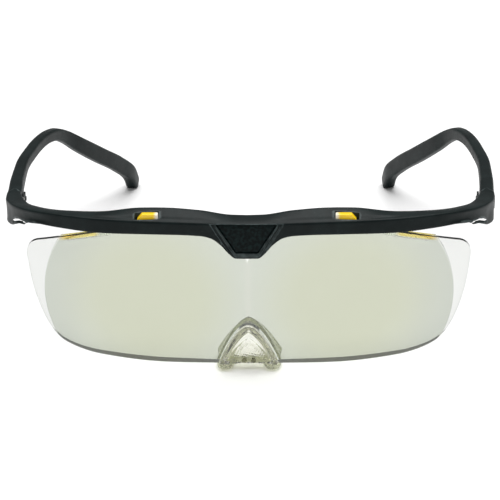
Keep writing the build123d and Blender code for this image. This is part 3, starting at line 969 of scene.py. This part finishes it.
    def cutters(self, side: int) -> list[bpy.types.Object]:
        """Bodies for one side's window, lip slot, hollow under the end piece and hinge relief."""
        low_x, high_x, low_depth, high_depth = self.window
        window = MeshMaker()
        outline = rounded_loop(
            [(low_x, low_depth), (high_x, low_depth), (high_x, high_depth), (low_x, high_depth)], [0.3] * 4
        )
        window.prism(outline, lambda x, d, z: point(side * x, d, z), 50.1, 60.0)
        slot = MeshMaker()
        crescent = [(71.5, 47.8), (73.0, 47.7), (74.5, 47.45), (76.0, 46.5), (77.2, 45.2)]
        crescent += [(77.2, 44.7), (76.0, 45.4), (74.5, 46.4), (73.0, 46.9), (71.5, 47.15)]
        slot.prism(crescent, lambda x, z, d: point(side * x, d, z), 9.0, 24.0)
        hollow = MeshMaker()
        floor_plan = [(70.5, 13.2), (73.6, 15.6), (76.6, 19.4), (78.6, 24.2), (73.5, 24.2), (70.0, 18.5)]
        hollow.prism(floor_plan, lambda x, d, z: point(side * x, d, z), 40.0, 47.4)
        return [
            window.build("window_tool"),
            slot.build("slot_tool"),
            hollow.build("hollow_tool"),
            hinge_relief(side),
        ]

    def hinge_block(self, side: int) -> bpy.types.Object:
        """The block behind the end piece that the hinge leaf is riveted to."""
        plan = rounded_loop([(73.75, 24.9), (75.62, 31.0), (77.2, 31.4), (77.6, 25.2)], (0.3, 0.2, 0.3, 0.3))
        maker = MeshMaker()
        maker.prism(plan, lambda x, d, z: point(side * x, d, z), 43.45, 48.4)
        return maker.build("hinge_block")

    def rib(self, side: int) -> bpy.types.Object:
        """One bevelled flank of the shield: two raised lines with a leaning band between them."""
        profile = ((0.0, 0.9), (0.05, -0.30), (0.22, -0.36), (0.42, -0.12), (1.45, 0.12))
        profile += ((1.62, -0.18), (1.82, -0.18), (2.05, 0.9))
        maker = MeshMaker()
        rings = []
        for share in (0.0, 0.12, 0.3, 0.5, 0.7, 0.88, 1.0):
            inner = mix(9.9, 3.75, share)
            z = mix(53.9, 42.9, share)
            narrow = mix(1.0, 0.62, share)
            fade = ease(share, 0.0, 0.08) * (1 - ease(share, 0.94, 1.0))
            rings.append(
                [
                    point(
                        side * (inner + across * narrow),
                        -3.5 + wrap_depth(inner) + (high if high > 0.5 else high * fade + 0.12 * (1 - fade)),
                        z,
                    )
                    for across, high in profile
                ]
            )
        maker.loft(rings)
        return maker.build("rib")

    def pocket(self) -> bpy.types.Object:
        """Body for the shield's recess, which takes the inlay."""
        maker = MeshMaker()
        edge = rounded_loop([(-9.9, 53.8), (9.9, 53.8), (3.6, 43.7), (-3.6, 43.7)], [0.5] * 4)
        maker.prism(edge, lambda x, z, d: point(x, d, z), -2.6, -7.0)
        return maker.build("pocket_tool")

    def build(self) -> bpy.types.Object:
        """The finished bar, in place of its plain node."""
        bar = self.shell()
        for side in (-1, 1):
            cut(bar, [self.hinge_block(side), self.rib(side)], "UNION")
        cut(bar, [self.pocket()])
        for side in (-1, 1):
            cut(bar, self.cutters(side))
        smooth(bar, 38.0)
        soften(bar, 0.16, 50.0)
        dress(bar, self.finish.material())
        return fitted(bar, "front", "frame_black", "front_frame")


@dataclass
class Inlay:
    """The dark mottled plate in the shield."""

    top_half: float = 9.75
    bottom_half: float = 3.5
    top: float = 53.65
    bottom: float = 43.85
    face: float = -3.15
    back: float = -2.62
    rows: int = 36
    columns: int = 44
    relief: float = 0.05

    def build(self) -> bpy.types.Object:
        """A gently crowned plate with a clotted skin."""
        maker = MeshMaker()
        front, rear = [], []
        for row in range(self.rows + 1):
            up = row / self.rows
            half = mix(self.bottom_half, self.top_half, up)
            z = mix(self.bottom, self.top, up)
            line = []
            for column in range(self.columns + 1):
                across = 2 * column / self.columns - 1
                rim = min(1 - abs(across), up, 1 - up) * 6
                crown = 0.28 * (1 - min(1.0, rim)) ** 2
                clot = math.sin(across * half * 5.1 + z * 3.3) * math.sin(z * 4.7 - across * half * 2.9)
                depth = self.face + wrap_depth(half * across) + crown + self.relief * clot * min(1.0, rim)
                line.append(point(half * across, depth, z))
            front.append(maker.add_points(line))
            rear.append(maker.add_points(Vector((p.x, LENS_FACE + self.back * MM, p.z)) for p in line))
        maker.skin(front, closed=False)
        maker.skin(rear, closed=False)
        rims = [(front[0], rear[0]), (front[-1], rear[-1])]
        rims += [([r[i] for r in front], [r[i] for r in rear]) for i in (0, -1)]
        for pair in rims:
            maker.skin(pair, closed=False)
        plate = maker.build("bridge_inlay_plate")
        dress(plate, MottledInlay().material())
        return fitted(plate, "front", "inlay_dark", "bridge_inlay")


# ---------------------------------------------------------------- the lens
@dataclass(frozen=True)
class Arch:
    """A round-topped arch: half width, height of its foot and of its apex."""

    half: float
    foot: float
    apex: float

    def line(self, steps: int = 18) -> list[Point2]:
        """Points from the right foot over the apex to the left foot."""
        rise = []
        for i in range(steps + 1):
            share = 1 - i / steps
            rise.append((self.half * share, self.apex - (self.apex - self.foot) * share ** (1 / 0.57)))
        return [*rise, *[(-x, z) for x, z in rise[-2::-1]]]

    def between(self, other: "Arch", share: float) -> "Arch":
        """An arch between this one, at share 0, and another, at share 1."""
        return Arch(
            mix(self.half, other.half, share),
            mix(self.foot, other.foot, share),
            mix(self.apex, other.apex, share),
        )


@dataclass
class ShieldLens:
    """One wrapped lens with two thick optical zones, clear wings, and two snap tabs."""

    wing: float = 1.4
    zone_thickness: float = 5.5
    zone_x: float = 31.7
    zone_z: float = 25.2
    zone_radius: float = 34.5
    zone_back_radius: float = 500.0
    wrap_radius: float = 300.0
    flange_bottom: float = 49.8
    flange: float = 2.6
    edge_thickness: float = 2.2
    notch_half: float = 9.8
    notch_foot: float = 3.0
    notch_apex: float = 16.8
    edge: tuple[Point2, ...] = (
        (9.8, 3.0),
        (27.0, 2.8),
        (48.5, 4.3),
        (60.5, 8.2),
        (66.2, 15.6),
        (70.2, 28.5),
        (71.5, 38.2),
    )
    corner: tuple[Point2, ...] = ((71.5, 38.2), (70.8, 41.3), BROW_END)
    brow: tuple[Point2, ...] = ((0.0, 52.4), (41.5, 52.4), BROW_CORNER, BROW_END)
    notch_steps: int = 26
    zone_steps: int = 74
    rows: int = 44
    wing_steps: int = 14

    def zone_back(self, x: float, z: float) -> float:
        """Depth of the optical zone's rounded back."""
        turn = math.asin(self.zone_x / self.wrap_radius)
        reach = self.zone_thickness - self.zone_back_radius
        middle_x = self.zone_x - reach * math.sin(turn)
        middle_depth = wrap_depth(self.zone_x) + reach * math.cos(turn)
        aside = (x - middle_x) ** 2 + (z - self.zone_z) ** 2
        return middle_depth + math.sqrt(self.zone_back_radius**2 - aside)

    def outline(self) -> list[Point2]:
        """The outer edge from the notch's foot, round the side, to the brow line."""
        lower = [tuple(p) for p in Route(self.edge, 2).walk(160)]
        corner = arc_through(*self.corner, 12)[1:]
        brow = [
            (mix(BROW_END[0], BROW_CORNER[0], i / 40), mix(BROW_END[1], BROW_CORNER[1], i / 40))
            for i in range(1, 41)
        ]
        return [*lower, *corner, *brow]

    def zone_ends(self, outline: Sequence[Point2]) -> tuple[int, int]:
        """Where the zone's circle leaves and meets the outline, as places in its list."""
        inside = [
            math.dist(p, (self.zone_x, self.zone_z)) <= self.zone_radius for p in outline
        ]
        first = inside.index(False)
        last = len(inside) - 1 - inside[::-1].index(False)
        return first, last

    def half(self, maker: MeshMaker, side: int) -> None:
        """Adds one half of the lens.

        Args:
            maker: the mesh it is added to.
            side: 1 for the left half, -1 for the right.
        """
        outline = self.outline()
        first, last = self.zone_ends(outline)
        low_end, high_end = outline[first], outline[last]
        notch = Arch(self.notch_half, self.notch_foot, self.notch_apex).line(self.notch_steps)
        notch = notch[self.notch_steps :: -1]
        lower = [p for p in outline[:first]]
        foot = SmoothLine(tuple(p[0] for p in lower), tuple(p[1] for p in lower))
        places = [mix(self.notch_half, low_end[0], i / self.zone_steps) for i in range(1, self.zone_steps)]
        bottom = [*notch, *[(x, foot(x)) for x in places], low_end]
        brow_x = [p[0] for p in self.brow]
        brow_z = [p[1] for p in self.brow]
        top = []
        for x, _ in bottom:
            reach = x / low_end[0] * high_end[0]
            index = max(i for i in range(len(brow_x) - 1) if brow_x[i] <= reach)
            share = (reach - brow_x[index]) / (brow_x[index + 1] - brow_x[index])
            top.append((reach, mix(brow_z[index], brow_z[index + 1], share)))
        arc = arc_through(low_end, (self.zone_x + self.zone_radius, self.zone_z), high_end, self.rows)
        zone = [
            [self.zone_point(low, high, arc, r, low[0] / low_end[0]) for low, high in zip(bottom, top)]
            for r in range(self.rows + 1)
        ]
        self.plate(maker, zone, side, self.thick)
        rim = Route(outline[first : last + 1], 2)
        wing = []
        for r in range(self.rows + 1):
            outer = rim(rim.length * r / self.rows)
            shares = [c / self.wing_steps for c in range(self.wing_steps + 1)]
            wing.append([(mix(arc[r][0], outer[0], t), mix(arc[r][1], outer[1], t)) for t in shares])
        self.plate(maker, wing, side, self.thin)
        step = [[point(side * x, depth(x, z), z) for x, z in arc] for depth in (self.thin, self.thick)]
        maker.skin([maker.add_points(line) for line in step], closed=False, slot=1)

    def zone_point(self, low: Point2, high: Point2, arc: Sequence[Point2], row: int, share: float) -> Point2:
        """A grid point of the zone, whose columns lean out to meet its round boundary."""
        up = row / self.rows
        chord = (mix(arc[0][0], arc[-1][0], up), mix(arc[0][1], arc[-1][1], up))
        pull = share**4
        x = mix(low[0], high[0], up) + pull * (arc[row][0] - chord[0])
        z = mix(low[1], high[1], up) + pull * (arc[row][1] - chord[1])
        return x, z

    def thick(self, x: float, z: float) -> float:
        """Depth of the lens's back inside a zone, thinned towards the brow line and its flange."""
        brow = BROW_CORNER[1] - max(0.0, x - BROW_CORNER[0]) * BROW_SLOPE
        thinned = ease(z, brow - 3.0, brow) * ease(x, 41.0, 45.0)
        zone = mix(self.zone_back(x, z), wrap_depth(x) + self.edge_thickness, thinned)
        in_flange = ease(z, self.flange_bottom - 0.3, self.flange_bottom + 0.3)
        return mix(zone, wrap_depth(x) + self.flange, in_flange)

    def thin(self, x: float, z: float) -> float:
        """Depth of the lens's back in its wings."""
        return wrap_depth(x) + self.wing

    def plate(
        self,
        maker: MeshMaker,
        grid: Sequence[Sequence[Point2]],
        side: int,
        back: Callable[[float, float], float],
    ) -> None:
        """Adds front and back skins of a patch and the walls along its outer edges.

        Args:
            maker: the mesh it is added to.
            grid: the patch's points, row by row.
            side: 1 or -1.
            back: depth of the back.
        """
        front = [maker.add_points(point(side * x, wrap_depth(x), z) for x, z in row) for row in grid]
        rear = [maker.add_points(point(side * x, back(x, z), z) for x, z in row) for row in grid]
        maker.skin(front, closed=False)
        maker.skin(rear, closed=False)
        if back == self.thick:
            maker.skin([front[0], rear[0]], closed=False, slot=1)
            maker.skin([front[-1], rear[-1]], closed=False, slot=1)
        else:
            maker.skin([[r[-1] for r in front], [r[-1] for r in rear]], closed=False, slot=1)

    def tab(self, side: int) -> bpy.types.Object:
        """An amber snap tab that stands up into a window of the bar."""
        outline = [(28.0, 50.6), (34.6, 50.6), (34.6, 54.1), (33.1, 55.9), (28.0, 55.9)]
        maker = MeshMaker()
        shape = rounded_loop(outline, (0.2, 0.2, 0.3, 0.25, 0.4), 3)
        maker.prism(shape, lambda x, z, d: point(side * x, d, z), -0.28, 1.7)
        tab = maker.build(f"lens_tab_{'left' if side > 0 else 'right'}")
        soften(tab, 0.18)
        dress(tab, AmberTab().material())
        return fitted(tab, "front", "lens_clear")

    def build(self) -> bpy.types.Object:
        """The lens, in place of its plain node, and its tabs."""
        maker = MeshMaker()
        for side in (1, -1):
            self.half(maker, side)
        lens = maker.build("shield_lens", weld=2e-6, sharp=35.0)
        soften(lens, 0.22, 50.0)
        lens.modifiers["soft_edges"].material = 1
        dress(lens, OpticalPlastic().material(), LensRim().material())
        for side in (1, -1):
            self.tab(side)
        return fitted(lens, "front", "lens_clear", "magnifying_lens")


# ---------------------------------------------------------------- the nose
def tube(maker: MeshMaker, path: Sequence[Vector], radius: Callable[[float], float], sides: int = 10) -> None:
    """Adds a round bar along a path.

    Args:
        maker: the mesh it is added to.
        path: the bar's middle line.
        radius: the radius in metres at a share of the path.
        sides: points round it.
    """
    rings = []
    for i, middle in enumerate(path):
        along = (path[min(i + 1, len(path) - 1)] - path[max(i - 1, 0)]).normalized()
        side = along.cross(Vector((0, 1, 0))).normalized()
        up = side.cross(along)
        size = radius(i / (len(path) - 1))
        turns = [2 * math.pi * k / sides for k in range(sides)]
        rings.append([middle + (side * math.cos(turn) + up * math.sin(turn)) * size for turn in turns])
    maker.loft(rings)


@dataclass
class NoseCarrier:
    """Clear rigid arch that clips into the lens's notch, with a ridged web."""

    outer: Arch = Arch(9.6, 2.4, 16.45)
    inner: Arch = Arch(8.1, 2.4, 14.1)
    plate: Arch = Arch(10.6, 2.4, 17.7)
    front: float = -0.4
    plate_front: float = 4.8
    plate_back: float = 5.8
    web_front: float = 0.8
    web_back: float = 2.0
    fold: SmoothLine = SmoothLine((0.0, 2.0, 4.9, 6.5, 9.0, 10.0), (14.6, 13.0, 9.5, 7.2, 5.3, 4.8))
    # How far each fold lies under the first, its half length and its radius.
    folds: tuple[tuple[float, float, float], ...] = ((0.0, 8.3, 0.50), (2.2, 7.6, 0.42), (4.6, 6.4, 0.30))
    facet: float = 0.38
    voxel: float = 0.26

    def band(self, maker: MeshMaker, outer: Arch, inner: Arch, low: float, high: float) -> None:
        """Adds a closed arch band between two depths."""
        ring = [*outer.line(), *inner.line()[::-1]]
        rows = [maker.add_points(point(x, depth, z) for x, z in ring) for depth in (low, high)]
        maker.skin(rows)
        half = len(ring) // 2
        for row in rows:
            strip = [row[:half], row[half:][::-1]]
            maker.skin(strip, closed=False)

    def build(self) -> bpy.types.Object:
        """The carrier, in place of its plain node."""
        maker = MeshMaker()
        self.band(maker, self.outer, self.inner, self.front, self.plate_front + 0.3)
        self.band(maker, self.plate, self.inner, self.plate_front, self.plate_back)
        web = [*self.outer.line()]
        maker.prism(web, lambda x, z, d: point(x, d, z), self.web_front, self.web_back)
        for drop, reach, thick in self.folds:
            path = []
            for i in range(-14, 15):
                x = reach * i / 14
                z = self.fold(abs(x)) - drop
                path.append(point(x, self.web_front - 0.1 + 0.02 * abs(x), max(z, 2.9)))
            tube(maker, path, lambda t, size=thick: size * MM * (1 - 0.35 * abs(2 * t - 1)))
        for side in (-1, 1):
            foot = [point(side * mix(4.0, 9.2, i / 8), 0.6, 3.2 + 0.5 * math.sin(i)) for i in range(9)]
            tube(maker, foot, lambda t: 0.6 * MM)
        carrier = maker.build("nose_carrier_clear")
        melt(carrier, self.voxel, 3)
        self.facets(carrier)
        dress(carrier, ClearPlastic("carrier_clear_moulded", (0.90, 0.90, 0.84)).material())
        return fitted(carrier, "front", "carrier_clear", "nose_carrier")

    def facets(self, carrier: bpy.types.Object) -> None:
        """Roughens the web's face under the folds into small hammered facets."""
        for vertex in carrier.data.vertices:
            x, z = vertex.co.x / MM, vertex.co.z / MM
            depth = (vertex.co.y - LENS_FACE) / MM
            under = self.fold(abs(x)) - self.folds[1][0] - 0.7
            if z < under and depth < self.web_back - 0.4:
                grain = math.sin(x * 4.3 + z * 2.1) * math.sin(z * 5.2 - x * 2.7)
                vertex.co.y += self.facet * grain * ease(under - z, 0.0, 0.6) * MM


@dataclass
class NoseSaddle:
    """Silicone saddle: a flared shell, two bearing lobes and the membrane the pegs go through."""

    front: Arch = Arch(10.2, 2.0, 17.0)
    back: Arch = Arch(11.4, 2.0, 13.6)
    hollow_front: Arch = Arch(5.4, 1.2, 12.6)
    hollow_back: Arch = Arch(8.0, 1.2, 10.4)
    front_depth: float = 6.1
    back_depth: float = 14.0
    lobe_inner: float = 4.8
    lobe_outer: float = 10.6
    lobe_front: float = -0.5
    lobe_height: float = 2.35
    steps: int = 10
    voxel: float = 0.30

    def shell(self, maker: MeshMaker) -> None:
        """Adds the flared shell, ribbed where it grips the nose."""
        rings = []
        for i in range(self.steps + 1):
            share = i / self.steps
            swell = 0.22 * math.sin(share * math.pi * 3)
            outer = self.front.between(self.back, share).line()
            inner = self.hollow_front.between(self.hollow_back, share).line()
            depth = mix(self.front_depth, self.back_depth, share)
            loop = [(x * (1 + swell * 0.02), z + swell * 0.3) for x, z in outer]
            loop += inner[::-1]
            rings.append([point(x, depth, max(z, 0.25)) for x, z in loop])
        rows = [maker.add_points(ring) for ring in rings]
        maker.skin(rows)
        half = len(rings[0]) // 2
        for row in (rows[0], rows[-1]):
            maker.skin([row[:half], row[half:][::-1]], closed=False)

    def lobe(self, maker: MeshMaker, side: int) -> None:
        """Adds one crowned lobe, which rests flat on the table."""
        rows = []
        middle = (self.lobe_inner + self.lobe_outer) / 2
        half_width = (self.lobe_outer - self.lobe_inner) / 2
        half_length = (self.back_depth - self.lobe_front) / 2
        centre_depth = (self.back_depth + self.lobe_front) / 2
        for i in range(15):
            tilt = math.pi * i / 14
            level = self.lobe_height * (1 - math.cos(tilt)) / 2
            girth = max(math.sin(tilt), 0.0) ** 0.45 if 0 < i < 14 else 0.0
            ring = []
            for k in range(40):
                turn = 2 * math.pi * k / 40
                c, s = math.cos(turn), math.sin(turn)
                x = middle + half_width * girth * math.copysign(abs(c) ** 0.7, c)
                depth = centre_depth + half_length * girth * math.copysign(abs(s) ** 0.6, s)
                ring.append(point(side * x, depth, level))
            rows.append(ring)
        maker.loft([rows[1], *rows[2:-1]])

    def membrane(self, maker: MeshMaker) -> None:
        """Adds the thin web between the lobes, its lower edge arched."""
        rings = []
        for i in range(25):
            x = mix(-6.6, 6.6, i / 24)
            low = 0.9 + 1.0 * math.cos(x / 6.6 * math.pi / 2) + 0.18 * math.sin(x * 2.1)
            high = 4.5 + 0.15 * math.sin(x * 2.6)
            rings.append([point(x, 2.15, low), point(x, 3.2, low), point(x, 3.2, high), point(x, 2.15, high)])
        maker.loft(rings)

    def build(self) -> bpy.types.Object:
        """The saddle, in place of its plain node."""
        maker = MeshMaker()
        self.shell(maker)
        self.membrane(maker)
        for side in (-1, 1):
            self.lobe(maker, side)
        saddle = maker.build("nose_saddle_silicone")
        melt(saddle, self.voxel, 4)
        for vertex in saddle.data.vertices:
            vertex.co.z = max(vertex.co.z, 0.00002)
        dress(saddle, Silicone().material())
        return fitted(saddle, "front", "silicone_clear", "nose_pad")


# ---------------------------------------------------------------- temples
@dataclass
class Temple:
    """One temple, from its hollow seam end to the flat tip of its ear hook."""

    side: int
    # Middle of the section (x, depth, height), then the section's height and width.
    stations: tuple[tuple[float, ...], ...] = (
        (77.9, 29.0, 46.3, 6.6, 4.7),
        (78.3, 37.0, 46.45, 6.3, 4.6),
        (78.9, 46.0, 46.95, 5.2, 4.3),
        (79.2, 60.0, 47.0, 4.3, 4.0),
        (77.9, 76.0, 46.3, 4.2, 3.9),
        (75.9, 90.0, 45.0, 4.2, 3.9),
        (73.2, 101.0, 42.7, 4.4, 4.0),
        (70.4, 108.5, 38.8, 4.8, 4.1),
        (66.4, 115.5, 33.0, 5.6, 4.2),
        (60.4, 127.0, 24.1, 6.0, 4.2),
        (54.4, 139.4, 15.0, 6.0, 4.2),
        (50.9, 148.0, 7.6, 5.8, 4.4),
        (50.0, 153.9, 0.4, 5.4, 4.6),
    )
    seam: tuple[float, float] = (78.0, 31.0)
    seam_half_width: float = 2.58
    seam_length: float = 3.18
    seam_rows: int = 6
    steps: int = 130
    tip: float = 2.6
    finish: MouldedNylon = field(default_factory=lambda: MouldedNylon("temple_satin_black", roughness=0.46))

    @property
    def name(self) -> str:
        """The node that this temple stands for."""
        return "temple_left" if self.side > 0 else "temple_right"

    def section(self, route: Route, along: float) -> Ring:
        """The rounded section at a distance along the temple, as x, depth and height."""
        x, depth, z, height, width = route(along)
        ahead, behind = route(min(along + 0.6, route.length)), route(max(along - 0.6, 0.0))
        run = Vector([a - b for a, b in zip(ahead[:3], behind[:3])]).normalized()
        across = run.cross(Vector((0, 0, 1))).normalized()
        up = across.cross(run)
        dome = 1.0
        left = route.length - along
        if left < self.tip:
            dome = math.sqrt(max(0.0, 1 - (1 - left / self.tip) ** 2)) * 0.35 + 0.65
        half_w, half_h = width / 2 * dome, height / 2 * dome
        crown = 0.22
        loop = rounded_loop(
            [(-half_w, -half_h), (half_w, -half_h), (half_w, half_h), (-half_w, half_h)], [1.25] * 4, 5
        )
        ring = []
        for a, b in loop:
            bulge = crown * (1 - (b / half_h) ** 2) * (1 if a > 0 else 0.3)
            middle = Vector((x, depth, z))
            ring.append(middle + across * (a + math.copysign(bulge, a)) + up * b)
        return ring

    def seam_depth_at(self, x: float) -> float:
        """Depth of the hollow end, which wraps round the end piece's rounded seam."""
        reach = min(1.0, abs(x - self.seam[0]) / self.seam_half_width)
        return self.seam[1] + self.seam_length * math.sqrt(1 - reach * reach)

    def rings(self) -> list[Ring]:
        """Every section from the seam to the tip, in the row frame."""
        route = Route(self.stations, 3)
        start = 7.0
        base = self.section(route, start)
        found = []
        for k in range(self.seam_rows):
            share = k / self.seam_rows
            found.append([Vector((p.x, mix(self.seam_depth_at(p.x), p.y, share), p.z)) for p in base])
        length = route.length
        found += [self.section(route, mix(start, length, i / self.steps)) for i in range(self.steps + 1)]
        return [[point(self.side * p.x, p.y, max(p.z, 0.02)) for p in ring] for ring in found]

    def build(self) -> bpy.types.Object:
        """The finished temple, in place of its plain node."""
        maker = MeshMaker()
        maker.loft(self.rings())
        arm = maker.build(f"{self.name}_arm", sharp=45.0)
        cut(arm, [hinge_relief(self.side)])
        smooth(arm, 40.0)
        soften(arm, 0.2, 50.0)
        dress(arm, self.finish.material())
        return fitted(arm, self.name, "temple_black", self.name)


class Ironmongery:
    """Hinge leaves, screws, nuts, rivets and pegs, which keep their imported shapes."""

    def __init__(self) -> None:
        """Makes each finish once."""
        self.leaf = Steel("hinge_blackened_steel", Lay.UPRIGHT, *BLACKENED, 0.42).material()
        self.screw = Steel("screw_turned_steel", Lay.ROUND, roughness=0.22).material()
        self.rivet = Steel("rivet_blackened_steel", Lay.ALONG, *BLACKENED_RIVET, 0.40).material()
        self.peg = ClearPlastic("peg_clear_moulded", (0.55, 0.55, 0.42), ripple=0.05).material()

    def dress(self) -> None:
        """Dresses every small node on both sides."""
        for side in ("left", "right"):
            for end in ("front", "temple"):
                dress_node(f"hinge_{end}_leaf_{side}", self.leaf, 0.07)
                dress_node(f"{end}_leaf_rivets_{side}", self.rivet, 0.06)
            dress_node(f"hinge_screw_{side}", self.screw, 0.06)
            dress_node(f"hinge_nut_{side}", self.screw, 0.06)
        dress_node("nose_pad_pegs", self.peg)


# ---------------------------------------------------------------- the studio
@dataclass
class Studio:
    """Plain white floor, soft lights and the camera."""

    eye: tuple[float, float, float] = (21.5, -665.0, 318.1)
    target: tuple[float, float, float] = (0.92, -75.9, 43.4)
    lens: float = 147.6
    floor_half: float = 6.0
    ambient: float = 0.26

    def camera(self) -> None:
        """A long lens, a little above and to one side of the front."""
        data = bpy.data.cameras.new("camera")
        data.lens = self.lens
        data.sensor_width = 36.0
        data.clip_start, data.clip_end = 0.01, 30.0
        camera = bpy.data.objects.new("camera", data)
        bpy.context.scene.collection.objects.link(camera)
        eye, target = (Vector(v) * MM for v in (self.eye, self.target))
        forward = (target - eye).normalized()
        level = Vector((1, 0, 0))
        right = (level - forward * level.dot(forward)).normalized()
        up = right.cross(forward)
        turn = Matrix((right, up, -forward)).transposed().to_4x4()
        camera.matrix_world = Matrix.Translation(eye) @ turn
        bpy.context.scene.camera = camera

    def floor(self) -> None:
        """A wide white sheet with a gently raised far edge."""
        maker = MeshMaker()
        half = self.floor_half
        rows = []
        for i in range(13):
            y = mix(-half, half, i / 12)
            rise = 0.35 * ease(y, half * 0.6, half)
            rows.append(maker.add_points(Vector((x, y, rise)) for x in (-half, -half / 3, half / 3, half)))
        maker.skin(rows, closed=False)
        sheet = maker.build("floor")
        dress(sheet, PaleFloor().material())

    def lamp(self, name: str, place: Colour, size: float, watts: float, colour: Colour) -> None:
        """Adds one soft box that faces the spectacles."""
        data = bpy.data.lights.new(name, "AREA")
        data.shape = "DISK"
        data.size = size
        data.energy = watts
        data.color = colour
        lamp = bpy.data.objects.new(name, data)
        bpy.context.scene.collection.objects.link(lamp)
        lamp.location = place
        lamp.rotation_mode = "QUATERNION"
        lamp.rotation_quaternion = Vector(place).to_track_quat("Z", "Y")

    def sky(self) -> None:
        """An even white surround."""
        world = bpy.data.worlds.new("surround")
        world.use_nodes = True
        background = world.node_tree.nodes["Background"]
        background.inputs["Color"].default_value = (1.0, 1.0, 1.0, 1.0)
        background.inputs["Strength"].default_value = self.ambient
        bpy.context.scene.world = world

    def build(self) -> None:
        """Everything round the spectacles."""
        bpy.context.scene.view_settings.view_transform = "Standard"
        self.camera()
        self.floor()
        self.sky()
        self.lamp("overhead", (0.05, 0.10, 1.4), 1.6, 26.0, (1.0, 1.0, 1.0))
        self.lamp("right_fill", (0.9, -0.7, 0.9), 0.7, 1.0, (1.0, 0.99, 0.97))
        LOG.info("studio ready")


def main() -> None:
    """Builds the studio and each sub-assembly in order."""
    logging.basicConfig(level=logging.INFO, format="%(name)s: %(message)s")
    Studio().build()
    BrowBar().build()
    Inlay().build()
    ShieldLens().build()
    NoseCarrier().build()
    NoseSaddle().build()
    for side in (1, -1):
        Temple(side).build()
    Ironmongery().dress()


if __name__ == "__main__":
    main()
